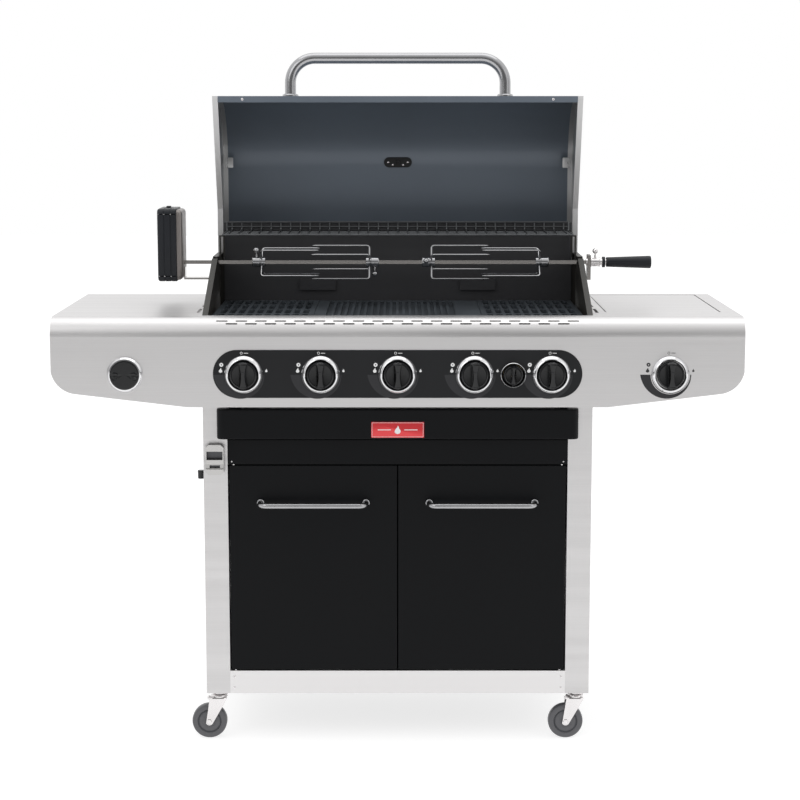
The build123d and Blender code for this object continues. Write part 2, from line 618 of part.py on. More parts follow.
# ---- cooking surfaces ----
GRATE_HALF = 108.5
GRATE_X = GRIDDLE_HALF + 1 + GRATE_HALF
RIB_PITCH = 20.0
GRATE_SLOT = (82.0, 13.5)
GRATE_ROW_PITCH = 94.0
with BuildPart() as cooking_grates:
    depth = GRATE_D[1] - GRATE_D[0]
    with BuildSketch(floor_plane(GRATE_Z1 - GRATE_T)):
        for side in RIGHT_AND_LEFT:
            with Locations((side * GRATE_X, sum(GRATE_D) / 2)):
                Rectangle(2 * GRATE_HALF, depth)
                with GridLocations(RIB_PITCH, GRATE_ROW_PITCH, 10, 4):
                    SlotOverall(*GRATE_SLOT, rotation=90, mode=Mode.SUBTRACT)
    extrude(amount=GRATE_T)
cooking_grates.part.label = "cooking_grates"
export_step(cooking_grates.part, "parts/cooking_grates.step")

RIDGE_PITCH = 14.0
RIDGE_SPAN = (-155.0, 125.0)
RIDGE_HALF = 3.0
RIDGE_H = 5.0
GRIDDLE_RIM = 26.0
GRIDDLE_CORNER_R = 8.0
with BuildPart() as griddle:
    slab((-GRIDDLE_HALF, GRIDDLE_HALF), GRATE_D, (GRATE_Z1 - GRATE_T, GRATE_Z1))
    fillet(griddle.edges().filter_by(Axis.Z), GRIDDLE_CORNER_R)
    ridge_d = (GRATE_D[0] + GRIDDLE_RIM, GRATE_D[1] - GRIDDLE_RIM)
    slab(RIDGE_SPAN, ridge_d, (GRATE_Z1 - RIDGE_H, GRATE_Z1), Mode.SUBTRACT)
    ridges = int((RIDGE_SPAN[1] - RIDGE_SPAN[0]) / RIDGE_PITCH)
    for i in range(1, ridges):
        ridge_x = RIDGE_SPAN[0] + i * RIDGE_PITCH
        slab((ridge_x - RIDGE_HALF, ridge_x + RIDGE_HALF), ridge_d, (GRATE_Z1 - RIDGE_H, GRATE_Z1 - FREE))
griddle.part.label = "griddle"
export_step(griddle.part, "parts/griddle.step")

RACK_HALF = 393.0
RACK_D = (336.0, 455.0)
WIRE = 4.0
WIRE_PITCH = 22.0
FENCE_H = 21.0
with BuildPart() as warming_rack:
    rack_depth = RACK_D[1] - RACK_D[0]
    wires = int(2 * RACK_HALF / WIRE_PITCH)
    with BuildSketch(floor_plane(RACK_Z)):
        with Locations((0, sum(RACK_D) / 2)):
            with GridLocations(0, (rack_depth - WIRE) / 3, 1, 4):
                Rectangle(2 * RACK_HALF, WIRE)
            with GridLocations(WIRE_PITCH, 0, wires, 1):
                Rectangle(WIRE, rack_depth)
            with GridLocations(2 * RACK_HALF - WIRE, 0, 2, 1):
                Rectangle(WIRE, rack_depth)
    extrude(amount=WIRE)
    with BuildSketch(face_plane(0, RACK_D[1], RACK_Z + WIRE)):
        with Locations((0, FENCE_H - WIRE / 2)):
            Rectangle(2 * RACK_HALF, WIRE)
        with Locations((0, FENCE_H / 2)):
            with GridLocations(WIRE_PITCH, 0, wires, 1):
                Rectangle(WIRE, FENCE_H)
    extrude(amount=WIRE)
warming_rack.part.label = "warming_rack"
export_step(warming_rack.part, "parts/warming_rack.step")

RACK_BRACKETS_D = ((342.0, 354.0), (438.0, 450.0))
RACK_BRACKET_Z0 = 1012.0
BRACKET_T = 3.0
BRACKET_LIP = 14.0
with BuildPart() as rack_brackets:
    for bracket_d in RACK_BRACKETS_D:
        for upright in both_sides(WALL_IN - BRACKET_T, WALL_IN):
            slab(upright, bracket_d, (RACK_BRACKET_Z0, RACK_Z - FREE))
        for lip in both_sides(WALL_IN - BRACKET_LIP, WALL_IN):
            slab(lip, bracket_d, (RACK_Z - BRACKET_T, RACK_Z))
rack_brackets.part.label = "rack_brackets"
export_step(rack_brackets.part, "parts/rack_brackets.step")

# ---- side shelves and side burner ----
SHELF_FLAT_X = 440.0
SHELF_KINK = (676.0, 760.0)
SHELF_CORNER_Z = 806.0
SKIRT_Z = 850.0
APRON_D = 24.0  # how far the front apron reaches back below the side skirts
WELL_X = (444.0, 692.0)
WELL_D = (118.0, 505.0)
AIR_SLOT_X = 426.0
AIR_SLOT_D = (145.0, 265.0, 385.0)
AIR_SLOT = (80.0, 7.0)


def shelf_face():
    """X and height outline of the right shelf's front, with its sloping foot and round corner."""
    with BuildSketch() as outline:
        with BuildLine():
            flat_end = (SHELF_FLAT_X, PANEL_Z0)
            corner = (OVERALL_HALF, SHELF_CORNER_Z)
            slope = (SHELF_KINK[0] - SHELF_FLAT_X, SHELF_KINK[1] - PANEL_Z0)
            Polyline((CART_HALF, PANEL_Z0), flat_end, SHELF_KINK)
            TangentArc(SHELF_KINK, corner, tangent=slope)
            Polyline(corner, (OVERALL_HALF, COUNTER_Z), (CART_HALF, COUNTER_Z), (CART_HALF, PANEL_Z0))
        make_face()
    return outline.sketch


def right_shelf_shell():
    """Shelf pressed from one sheet: top, bullnose front and skirts, open below and to the cart."""
    with BuildPart(mode=Mode.PRIVATE) as shell:
        with BuildSketch(side_plane(CART_HALF)):
            add(bullnose_section(0, PANEL_Z0, SHELF_REAR_D))
        extrude(amount=OVERALL_HALF - CART_HALF)
        with BuildSketch(face_plane(0, 0, 0)):
            add(shelf_face())
        extrude(amount=-SHELF_REAR_D, mode=Mode.INTERSECT)
        with BuildSketch(side_plane(CART_HALF)):
            add(bullnose_section(SHEET, PANEL_Z0, SHELF_REAR_D - SHEET))
        extrude(amount=OVERALL_HALF - SHEET - CART_HALF, mode=Mode.SUBTRACT)
        slab((CART_HALF, OVERALL_HALF), (APRON_D, SHELF_REAR_D), (PANEL_Z0, SKIRT_Z), Mode.SUBTRACT)
        # air slots beside the firebox
        with BuildSketch(floor_plane(COUNTER_Z)):
            with Locations(*[(AIR_SLOT_X, d) for d in AIR_SLOT_D]):
                SlotOverall(*AIR_SLOT, rotation=90)
        extrude(amount=-SHEET, mode=Mode.SUBTRACT)
    return shell.part


with BuildPart() as left_shelf:
    add(mirror(right_shelf_shell(), about=Plane.YZ))
    rod_along_y(-SHELF_KNOB_X, (-SHEET, 2 * SHEET), KNOB_Z, HOLDER_R + RUN, Mode.SUBTRACT)
left_shelf.part.label = "left_shelf"
export_step(left_shelf.part, "parts/left_shelf.step")

WELL_FLANGE_Z = 898.0
with BuildPart() as right_shelf:
    add(right_shelf_shell())
    rod_along_y(SHELF_KNOB_X, (-SHEET, 2 * SHEET), KNOB_Z, STEM_HOLE_R, Mode.SUBTRACT)
    # opening for the side burner, with turned-down edges
    flange_x = (WELL_X[0] - SHEET, WELL_X[1] + SHEET)
    flange_d = (WELL_D[0] - SHEET, WELL_D[1] + SHEET)
    slab(flange_x, flange_d, (WELL_FLANGE_Z, COUNTER_Z))
    slab(WELL_X, WELL_D, (WELL_FLANGE_Z, COUNTER_Z), Mode.SUBTRACT)
right_shelf.part.label = "right_shelf"
export_step(right_shelf.part, "parts/right_shelf.step")

BOWL_Z = (858.0, 903.0)
BOWL_RIM = 18.0
BOWL_REAR_GAP = 30.0
BOWL_CORNER_R = 20.0
with BuildPart() as side_burner_bowl:
    bowl_x = (WELL_X[0] + FREE, WELL_X[1] - FREE)
    bowl_d = (WELL_D[0] + FREE, WELL_D[1] - BOWL_REAR_GAP)
    dish_x = (bowl_x[0] + BOWL_RIM, bowl_x[1] - BOWL_RIM)
    dish_d = (bowl_d[0] + BOWL_RIM, bowl_d[1] - BOWL_RIM)
    slab(bowl_x, bowl_d, (BOWL_Z[1] - SHEET, BOWL_Z[1]))
    slab(dish_x, dish_d, BOWL_Z)
    fillet(side_burner_bowl.edges().filter_by(Axis.Z).group_by(SortBy.LENGTH)[-1], BOWL_CORNER_R)
    inside_x = (dish_x[0] + SHEET, dish_x[1] - SHEET)
    inside_d = (dish_d[0] + SHEET, dish_d[1] - SHEET)
    slab(inside_x, inside_d, (BOWL_Z[0] + SHEET, BOWL_Z[1]), Mode.SUBTRACT)
side_burner_bowl.part.label = "side_burner_bowl"
export_step(side_burner_bowl.part, "parts/side_burner_bowl.step")

HEAD_X = sum(WELL_X) / 2
HEAD_D = 296.0
HEAD_R = 42.0
RING_Z = (BOWL_Z[0] + 16, BOWL_Z[0] + 26)
SUPPORT_HALF = 88.0
SUPPORT_W = 5.0
SUPPORT_H = 6.0
with BuildPart() as side_burner_head:
    floor_z = BOWL_Z[0] + SHEET
    rod_along_z(HEAD_X, HEAD_D, (floor_z, RING_Z[0]), HEAD_R - 12)
    rod_along_z(HEAD_X, HEAD_D, RING_Z, HEAD_R)
    rod_along_z(HEAD_X, HEAD_D, (RING_Z[1], RING_Z[1] + 4), HEAD_R - 8)
    # cross-shaped pan support standing on the bowl's floor, joined by a post in the middle
    support_z = BOWL_Z[1] - SUPPORT_H / 2
    leg_align = (Align.CENTER, Align.CENTER, Align.MAX)
    for turn in (45, 135):
        with Locations(Location((HEAD_X, FRONT_Y + HEAD_D, support_z), (0, 0, turn))):
            Box(2 * SUPPORT_HALF, SUPPORT_W, SUPPORT_H)
            with GridLocations(2 * SUPPORT_HALF - SUPPORT_W, 0, 2, 1):
                Box(SUPPORT_W, SUPPORT_W, support_z - floor_z, align=leg_align)
    rod_along_z(HEAD_X, HEAD_D, (RING_Z[1] + 3, BOWL_Z[1] - SHEET), SUPPORT_H)
side_burner_head.part.label = "side_burner_head"
export_step(side_burner_head.part, "parts/side_burner_head.step")

SIDE_LID_Z0 = 908.0
SIDE_LID_X = (WELL_X[0] + 2, WELL_X[1] - 2)
SIDE_LID_D = (WELL_D[0] + 2, WELL_D[1] - 6)
SIDE_PIN_D = SIDE_LID_D[1] - 4
SIDE_PIN_Z = COUNTER_Z - 5
SIDE_PIN_R = 2.0
SIDE_PIN_L = 7.0
SIDE_LID_EDGE_R = 2.0
with BuildPart() as side_burner_lid:
    slab(SIDE_LID_X, SIDE_LID_D, (SIDE_LID_Z0, COUNTER_Z))
    fillet(side_burner_lid.edges().group_by(Axis.Z)[-1], SIDE_LID_EDGE_R)
    inside_x = (SIDE_LID_X[0] + SHEET, SIDE_LID_X[1] - SHEET)
    inside_d = (SIDE_LID_D[0] + SHEET, SIDE_LID_D[1] - SHEET)
    slab(inside_x, inside_d, (SIDE_LID_Z0, COUNTER_Z - SHEET), Mode.SUBTRACT)
    for boss in ((SIDE_LID_X[0], inside_x[0]), (inside_x[1], SIDE_LID_X[1])):
        rod_along_x(boss, SIDE_PIN_D, SIDE_PIN_Z, SIDE_PIN_R + RUN, Mode.SUBTRACT)
side_burner_lid.part.label = "side_burner_lid"
export_step(side_burner_lid.part, "parts/side_burner_lid.step")

# ---- lid ----
ROOF_B = ROOF_Z - HINGE_Z
LID_A0 = LID_FRONT_D - HINGE_D
LID_A1 = LID_REAR_D - HINGE_D
LID_B0 = LID_Z0 - HINGE_Z
ROOF_FRONT_A = LID_A0 + (ROOF_B - LID_B0) * sin(LID_TILT) / cos(LID_TILT)
FRONT_BEND_R = 160.0
REAR_BEND_R = 110.0
REAR_SKIRT_B = 1048.0 - HINGE_Z
CAP_B = RIM_Z + FREE - HINGE_Z
CAP_KNEE_A = RIM_KNEE_D - HINGE_D
LID_SHEET = 2.0
FLANGE_W = 14.0
EAR_R = 14.0
EAR_T = 2.0
EAR_SPREAD, EAR_ROOT = 8.0, 10.0  # extra half width and overlap where an ear joins its cap
CAP_WALL = 3.0
HINGE_PIN_R = 4.0
GAUGE_A = 199.0 - HINGE_D
GAUGE_R = 34.0
GAUGE_STEM_R = 4.0
GAUGE_PROBE = 20.0
GAUGE_EDGE_R = 2.0
GAUGE_PLATE = (66.0, 24.0)
GAUGE_PLATE_IN = 4.2  # from the roof's outside to the clamp plate


def lid_curve(inset):
    """Closed-pose section of the lid from its front edge over the roof to its rear skirt."""
    return FilletPolyline(
        (LID_A0 + inset, LID_B0),
        (ROOF_FRONT_A + inset, ROOF_B - inset),
        (LID_A1 - inset, ROOF_B - inset),
        (LID_A1 - inset, REAR_SKIRT_B),
        radius=[FRONT_BEND_R - inset, REAR_BEND_R - inset],
    )


with BuildPart() as lid_shell:
    with BuildSketch(lid_plane(-CAP_IN)):
        with BuildLine():
            outer_curve = lid_curve(0)
            inner_curve = lid_curve(LID_SHEET)
            Line(outer_curve @ 0, inner_curve @ 0)
            Line(outer_curve @ 1, inner_curve @ 1)
        make_face()
        # flange folded inwards along the front edge
        with Locations((LID_A0 + FLANGE_W / 2, LID_B0 + LID_SHEET / 2)):
            Rectangle(FLANGE_W, LID_SHEET)
    extrude(amount=2 * CAP_IN)
    gauge_z = HINGE_Z - GAUGE_A
    roof_d = HINGE_D + ROOF_B
    rod_along_y(0, (roof_d - 4 * LID_SHEET, roof_d + LID_SHEET), gauge_z, GAUGE_STEM_R + 1, Mode.SUBTRACT)
lid_shell.part.label = "lid_shell"
export_step(lid_shell.part, "parts/lid_shell.step")


def cap_outline():
    """Closed-pose outline of a lid end, from the firebox rim up to the lid's curve."""
    with BuildSketch() as outline:
        with BuildLine():
            curve = lid_curve(0)
            Polyline(curve @ 1, (LID_A1, CAP_B), (CAP_KNEE_A, CAP_B), curve @ 0)
        make_face()
    return outline.sketch


with BuildPart() as lid_end_caps:
    rim = CAP_OUT - CAP_IN
    ear_in = CAP_OUT - EAR_T
    for cap_x, hollow_x, ear_x in ((-CAP_OUT, -CAP_OUT + SHEET, -CAP_OUT), (CAP_IN, CAP_IN, ear_in)):
        with BuildSketch(lid_plane(cap_x)):
            add(cap_outline())
        extrude(amount=rim)
        with BuildSketch(lid_plane(hollow_x)):
            offset(cap_outline(), amount=-CAP_WALL)
        extrude(amount=rim - SHEET, mode=Mode.SUBTRACT)
        # ear that reaches down the outside of the firebox to the hinge pin
        with BuildSketch(lid_plane(ear_x)):
            with BuildLine():
                root_a, root_b = EAR_R + EAR_SPREAD, CAP_B + EAR_ROOT
                Polyline((-EAR_R, 0), (-root_a, root_b), (root_a, root_b), (EAR_R, 0))
                ThreePointArc((EAR_R, 0), (0, -EAR_R), (-EAR_R, 0))
            make_face()
            Circle(HINGE_PIN_R + RUN, mode=Mode.SUBTRACT)
        extrude(amount=EAR_T)
lid_end_caps.part.label = "lid_end_caps"
export_step(lid_end_caps.part, "parts/lid_end_caps.step")

GRIP_R = 12.5
GRIP_HALF = 242.5
GRIP_OUT = 88.7
GRIP_BEND = 55.0
GRIP_UP = 62.0  # from the lid's front edge along its face to the grip's feet
COLLAR_R = 18.0
COLLAR_H = 9.0
GRIP_FOOT = (LID_FRONT_D + GRIP_UP * sin(LID_TILT), LID_Z0 + GRIP_UP * cos(LID_TILT))
with BuildPart() as lid_handle:
    down_face = (0, -cos(LID_TILT), sin(LID_TILT))
    grip_plane = Plane(origin=lid_point(0, *GRIP_FOOT), x_dir=(1, 0, 0), z_dir=down_face)
    with BuildLine(grip_plane) as grip_path:
        FilletPolyline(
            (-GRIP_HALF, COLLAR_H),
            (-GRIP_HALF, GRIP_OUT),
            (GRIP_HALF, GRIP_OUT),
            (GRIP_HALF, COLLAR_H),
            radius=GRIP_BEND,
        )
    outwards = (0, sin(LID_TILT), cos(LID_TILT))
    with BuildSketch(Plane(origin=grip_path.wires()[0] @ 0, z_dir=outwards)):
        Circle(GRIP_R)
    sweep(path=grip_path.wires()[0])
    for foot_x in (-GRIP_HALF, GRIP_HALF):
        with BuildSketch(Plane(origin=lid_point(foot_x, *GRIP_FOOT), z_dir=outwards)):
            Circle(COLLAR_R)
        extrude(amount=COLLAR_H + 1)
lid_handle.part.label = "lid_handle"
export_step(lid_handle.part, "parts/lid_handle.step")

with BuildPart() as lid_gauge:
    # dial housing on the roof, stem through it, and clamp plate on its inside
    rod_along_y(0, (roof_d + 1, roof_d + GAUGE_T), gauge_z, GAUGE_R)
    fillet(lid_gauge.edges().group_by(Axis.Y)[-1], GAUGE_EDGE_R)
    rod_along_y(0, (roof_d - GAUGE_PLATE_IN - GAUGE_PROBE, roof_d + 2), gauge_z, GAUGE_STEM_R)
    with BuildSketch(face_plane(0, roof_d - GAUGE_PLATE_IN, gauge_z)):
        SlotOverall(*GAUGE_PLATE)
    extrude(amount=LID_SHEET)
lid_gauge.part.label = "lid_gauge"
export_step(lid_gauge.part, "parts/lid_gauge.step")

BUMPER = (12.0, 10.0, 7.0)
with BuildPart() as lid_bumpers:
    for side in RIGHT_AND_LEFT:
        bumper_x = side * (CAP_IN - BUMPER[0] / 2 - 1)
        bumper_z = LID_Z0 + LID_SHEET + BUMPER[2] / 2
        with Locations(lid_point(bumper_x, LID_FRONT_D + 9, bumper_z)):
            Box(BUMPER[0], BUMPER[2], BUMPER[1])
lid_bumpers.part.label = "lid_bumpers"
export_step(lid_bumpers.part, "parts/lid_bumpers.step")

# ---- hinge pins ----
PIN_HEAD_X = (CAP_OUT + 1, CAP_OUT + 4)
PIN_HEAD_R = 7.0
DOOR_PIN_L = 12.0
with BuildPart() as hinge_pins:
    # lid pins stand on the firebox walls' outer faces
    for shank in both_sides(CART_HALF, PIN_HEAD_X[0]):
        rod_along_x(shank, HINGE_D, HINGE_Z, HINGE_PIN_R)
    for head in both_sides(*PIN_HEAD_X):
        rod_along_x(head, HINGE_D, HINGE_Z, PIN_HEAD_R)
    for side in RIGHT_AND_LEFT:
        rod_along_z(side * DOOR_PIN_X, DOOR_PIN_D, (RAIL_Z1, RAIL_Z1 + DOOR_PIN_L), DOOR_PIN_R)
        rod_along_z(side * DOOR_PIN_X, DOOR_PIN_D, (FASCIA_Z[0] - DOOR_PIN_L, FASCIA_Z[0]), DOOR_PIN_R)
    for pin_x in ((WELL_X[0], WELL_X[0] + SIDE_PIN_L), (WELL_X[1] - SIDE_PIN_L, WELL_X[1])):
        rod_along_x(pin_x, SIDE_PIN_D, SIDE_PIN_Z, SIDE_PIN_R)
hinge_pins.part.label = "hinge_pins"
export_step(hinge_pins.part, "parts/hinge_pins.step")

# ---- rotisserie ----
MOTOR_X = (-528.0, -486.0)
MOTOR_COVER_X = -474.0
MOTOR_Z = (973.0, 1133.0)
MOTOR_D = (252.0, 352.0)
MOTOR_CORNER_R = 10.0
MOTOR_EDGE_R = 6.0
COVER_INSET = 3.0
SWITCH_X, SWITCH_D, SWITCH_H = (-512.0, -502.0), (296.0, 308.0), 4.0
SOCKET_X = MOTOR_X[1] - 10
SOCKET_R = ROD * 0.75
ARM_D = (SPIT_D - 16, SPIT_D + 16)
with BuildPart() as motor_housing:
    slab(MOTOR_X, MOTOR_D, MOTOR_Z)
    fillet(motor_housing.edges().filter_by(Axis.X), MOTOR_CORNER_R)
    fillet(motor_housing.edges().group_by(Axis.X)[0], MOTOR_EDGE_R)
    with BuildSketch(side_plane(MOTOR_X[1])):
        with Locations((sum(MOTOR_D) / 2, sum(MOTOR_Z) / 2)):
            RectangleRounded(
                MOTOR_D[1] - MOTOR_D[0] - 2 * COVER_INSET,
                MOTOR_Z[1] - MOTOR_Z[0] - 2 * COVER_INSET,
                MOTOR_CORNER_R - SHEET,
            )
    extrude(amount=MOTOR_COVER_X - MOTOR_X[1])
    # switch on top, and the socket that the rod's end sits in
    slab(SWITCH_X, SWITCH_D, (MOTOR_Z[1], MOTOR_Z[1] + SWITCH_H))
    rod_along_x((SOCKET_X, MOTOR_COVER_X + 1), SPIT_D, SPIT_Z, SOCKET_R, Mode.SUBTRACT)
motor_housing.part.label = "motor_housing"
export_step(motor_housing.part, "parts/motor_housing.step")

COLLAR_RUN_R = 8.0
SUPPORT_X = (421.0, 428.0)
SUPPORT_Z = (974.0, 1029.0)
ARM_Z = (975.0, 979.0)
STRAP = 3.0  # thickness of the bracket ends that are screwed on
with BuildPart() as spit_brackets:
    # arm that carries the motor off the left wall
    slab((MOTOR_COVER_X, -CART_HALF), ARM_D, ARM_Z)
    slab((-CART_HALF - STRAP, -CART_HALF), ARM_D, (ARM_Z[0] - 20, ARM_Z[1]))
    slab((MOTOR_COVER_X, MOTOR_COVER_X + STRAP), ARM_D, (ARM_Z[1], ARM_Z[1] + 23))
    # open fork on the right wall that the collar turns in
    slab((CART_HALF, SUPPORT_X[1]), ARM_D, (SUPPORT_Z[0], SUPPORT_Z[0] + 5))
    slab((CART_HALF, CART_HALF + STRAP), ARM_D, (SUPPORT_Z[0] - 20, SUPPORT_Z[0]))
    slab(SUPPORT_X, ARM_D, SUPPORT_Z)
    bearing_r = COLLAR_RUN_R + 2 * RUN
    rod_along_x(SUPPORT_X, SPIT_D, SPIT_Z, bearing_r, Mode.SUBTRACT)
    slab(SUPPORT_X, (SPIT_D - bearing_r, SPIT_D + bearing_r), (SPIT_Z, SUPPORT_Z[1]), Mode.SUBTRACT)
spit_brackets.part.label = "spit_brackets"
export_step(spit_brackets.part, "parts/spit_brackets.step")

SPIT_X = (-490.0, 470.0)
with BuildPart() as spit_rod:
    slab(SPIT_X, (SPIT_D - ROD / 2, SPIT_D + ROD / 2), (SPIT_Z - ROD / 2, SPIT_Z + ROD / 2))
spit_rod.part.label = "spit_rod"
export_step(spit_rod.part, "parts/spit_rod.step")

ROD_HOLE = ROD / 2 + 0.1
ROD_HOLE_D = (SPIT_D - ROD_HOLE, SPIT_D + ROD_HOLE)
ROD_HOLE_Z = (SPIT_Z - ROD_HOLE, SPIT_Z + ROD_HOLE)
TINE_R = 2.2
TINE_LENGTH = 128.0
CROSS_HALF = 30.0 * hypot(1, 1)  # half length of a cross bar, along a square's diagonal
CROSS_W = 8.0
TINE_REACH = CROSS_HALF - 2 * TINE_R
HUB_R = 9.0
HUB_HALF = 8.0
# thumb screw from near to far off the rod's axis: its shank, then its head
FORK_SCREW = ((HUB_R - 1, HUB_R + 16, 2.5), (HUB_R + 10, HUB_R + 18, 5.0))
# middle of each fork's cross piece, which way its tines point, its turn about the rod, its screw's
FORKS = ((-302.0, 1, 0.0, 90), (-63.0, -1, 17.0, -90), (75.0, 1, 17.0, 0), (314.0, -1, 0.0, 180))
with BuildPart() as spit_forks:
    for fork_x, points, turn, screw in FORKS:
        rod_along_x((fork_x - HUB_HALF, fork_x + HUB_HALF), SPIT_D, SPIT_Z, HUB_R)
        for arm in (45, 135):
            with Locations(Location((fork_x, FRONT_Y + SPIT_D, SPIT_Z), (turn + arm, 0, 0))):
                Box(CROSS_W / 2, CROSS_W, 2 * CROSS_HALF)
        for corner in (45, 135, 225, 315):
            angle = radians(turn + corner)
            tine_d = SPIT_D - TINE_REACH * sin(angle)
            tine_z = SPIT_Z + TINE_REACH * cos(angle)
            ends = sorted((fork_x, fork_x + points * TINE_LENGTH))
            rod_along_x(ends, tine_d, tine_z, TINE_R)
        stalk = radians(screw)
        for near, far, screw_r in FORK_SCREW:
            middle = (near + far) / 2
            place = (fork_x, FRONT_Y + SPIT_D - middle * cos(stalk), SPIT_Z + middle * sin(stalk))
            with Locations(Location(place, (90 - screw, 0, 0))):
                Cylinder(screw_r, far - near)
    slab((-WALL_IN, WALL_IN), ROD_HOLE_D, ROD_HOLE_Z, Mode.SUBTRACT)
spit_forks.part.label = "spit_forks"
export_step(spit_forks.part, "parts/spit_forks.step")

SPIT_COLLAR_X = (418.0, 449.0)
DISC_X = (454.0, 461.0)
GRIP_X = (463.0, 563.0)
SPIT_GRIP_R = (10.75, 14.0)
SPIT_GRIP_END_R = 5.0
NECK_R = 7.5
DISC_R = 12.0
BALL_X, BALL_Z, BALL_R = 439.0, SPIT_Z + 24, 6.5
with BuildPart() as spit_handle:
    rod_along_x(SPIT_COLLAR_X, SPIT_D, SPIT_Z, COLLAR_RUN_R)
    rod_along_x((SUPPORT_X[1] + 1, SPIT_COLLAR_X[1]), SPIT_D, SPIT_Z, COLLAR_RUN_R + 3)
    rod_along_z(BALL_X, SPIT_D, (SPIT_Z + COLLAR_RUN_R, BALL_Z), 2.5)
    with Locations((BALL_X, FRONT_Y + SPIT_D, BALL_Z)):
        Sphere(BALL_R)
    rod_along_x((SPIT_COLLAR_X[1], GRIP_X[0]), SPIT_D, SPIT_Z, NECK_R)
    rod_along_x(DISC_X, SPIT_D, SPIT_Z, DISC_R)
    with Locations((sum(GRIP_X) / 2, FRONT_Y + SPIT_D, SPIT_Z)):
        Cone(*SPIT_GRIP_R, GRIP_X[1] - GRIP_X[0], rotation=(0, 90, 0))
    fillet(spit_handle.edges().group_by(Axis.X)[-1], SPIT_GRIP_END_R)
    slab((SPIT_COLLAR_X[0], SPIT_X[1] + 0.1), ROD_HOLE_D, ROD_HOLE_Z, Mode.SUBTRACT)
spit_handle.part.label = "spit_handle"
export_step(spit_handle.part, "parts/spit_handle.step")

# ---- fittings on the left front post ----
OPENER_X = (-405.0, -367.0)
OPENER_Z = (586.0, 650.0)
OPENER_D = (9.0, DOOR_FACE_D)
OPENER_CORNER = 6.0
OPENER_MOUTH_Z = (618.0, 636.0)
OPENER_SLOT_Z = (600.0, 606.0)
OPENER_RELIEF_Z = (598.0, 609.0)
with BuildPart() as bottle_opener:
    slab(OPENER_X, OPENER_D, OPENER_Z)
    # hood above and catch below have their outer corners cut off
    outer_ends = bottle_opener.edges().filter_by(Axis.Y)
    chamfer(outer_ends, OPENER_CORNER)
    mouth_x = (OPENER_X[0] + SHEET, OPENER_X[1] - SHEET)
    slab(mouth_x, (OPENER_D[0], OPENER_D[1] - SHEET), OPENER_MOUTH_Z, Mode.SUBTRACT)
    # slot in the lower plate, and the relief over the catch
    slot_x = (OPENER_X[0] + 8, OPENER_X[1] - 8)
    slab(slot_x, (OPENER_D[0], OPENER_D[1] - 2 * SHEET), OPENER_SLOT_Z, Mode.SUBTRACT)
    slab(OPENER_X, (OPENER_D[0], OPENER_D[0] + 5), OPENER_RELIEF_Z, Mode.SUBTRACT)
bottle_opener.part.label = "bottle_opener"
export_step(bottle_opener.part, "parts/bottle_opener.step")

HOOK_Z = 580.0
PEG_R, PEG_HALF, PEG_OUT = 7.0, 9.0, 8.0
POST_OUT = POST_X + POST / 2
with BuildPart() as tool_hook:
    rod_along_z(-POST_OUT - PEG_OUT, POST_D[0], (HOOK_Z - PEG_HALF, HOOK_Z + PEG_HALF), PEG_R)
    slab((-POST_OUT - 4, -POST_OUT), (POST_D[0] - 5, POST_D[0] + 5), (HOOK_Z - PEG_HALF, HOOK_Z + 4))
tool_hook.part.label = "tool_hook"
export_step(tool_hook.part, "parts/tool_hook.step")

# ---- casters ----
CROWN_Z = (92.0, 96.0)
CHEEK_GAP = WHEEL_W / 2 + 1
CHEEK_T = 2.5
CROWN_X = (-21.0, 16.0)  # ends of the crown, from the swivel axis
CHEEK_FOOT = 8.0  # half width of a cheek at the axle
RACE_R = 16.0
CASTERS = [(side * POST_X, d) for d in POST_D for side in (-1, 1)]
for number, (post_x, post_d) in enumerate(CASTERS, start=1):
    axle_x = post_x - CASTER_TRAIL
    with BuildPart() as fork:
        rod_along_z(post_x, post_d, (CROWN_Z[0], POST_Z0 + 30), CASTER_STEM_R)
        rod_along_z(post_x, post_d, (CROWN_Z[1], POST_Z0 - FREE), RACE_R)
        cheek_out = CHEEK_GAP + CHEEK_T
        crown_x = (post_x + CROWN_X[0], post_x + CROWN_X[1])
        slab(crown_x, (post_d - cheek_out, post_d + cheek_out), CROWN_Z)
        for cheek_d in (post_d - CHEEK_GAP, post_d + cheek_out):
            with BuildSketch(face_plane(0, cheek_d, 0)):
                with BuildLine():
                    Polyline(
                        (axle_x - CHEEK_FOOT, WHEEL_R),
                        (crown_x[0], CROWN_Z[1]),
                        (crown_x[1], CROWN_Z[1]),
                        (axle_x + CHEEK_FOOT, WHEEL_R),
                        close=True,
                    )
                make_face()
                with Locations((axle_x, WHEEL_R)):
                    Circle(CHEEK_FOOT)
            extrude(amount=CHEEK_T)
        rod_along_y(axle_x, (post_d - cheek_out - 3, post_d + cheek_out + 3), WHEEL_R, AXLE_R)
    fork.part.label = f"caster_fork_{number}"
    export_step(fork.part, f"parts/caster_fork_{number}.step")

    with BuildPart() as wheel:
        rod_along_y(axle_x, (post_d - WHEEL_W / 2, post_d + WHEEL_W / 2), WHEEL_R, WHEEL_R)
        fillet(wheel.edges(), 5)
        rod_along_y(axle_x, (post_d - WHEEL_W, post_d + WHEEL_W), WHEEL_R, AXLE_R + RUN, Mode.SUBTRACT)
    wheel.part.label = f"caster_wheel_{number}"
    export_step(wheel.part, f"parts/caster_wheel_{number}.step")
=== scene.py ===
"""Looks of a gas barbecue grill, built round its fixed frame.

Laid out as an add-on: property groups hold the sizes and colours, one operator makes each group of
pieces, and main() runs them in order. Everything is in metres, in the frame's own coordinates.
"""

import json

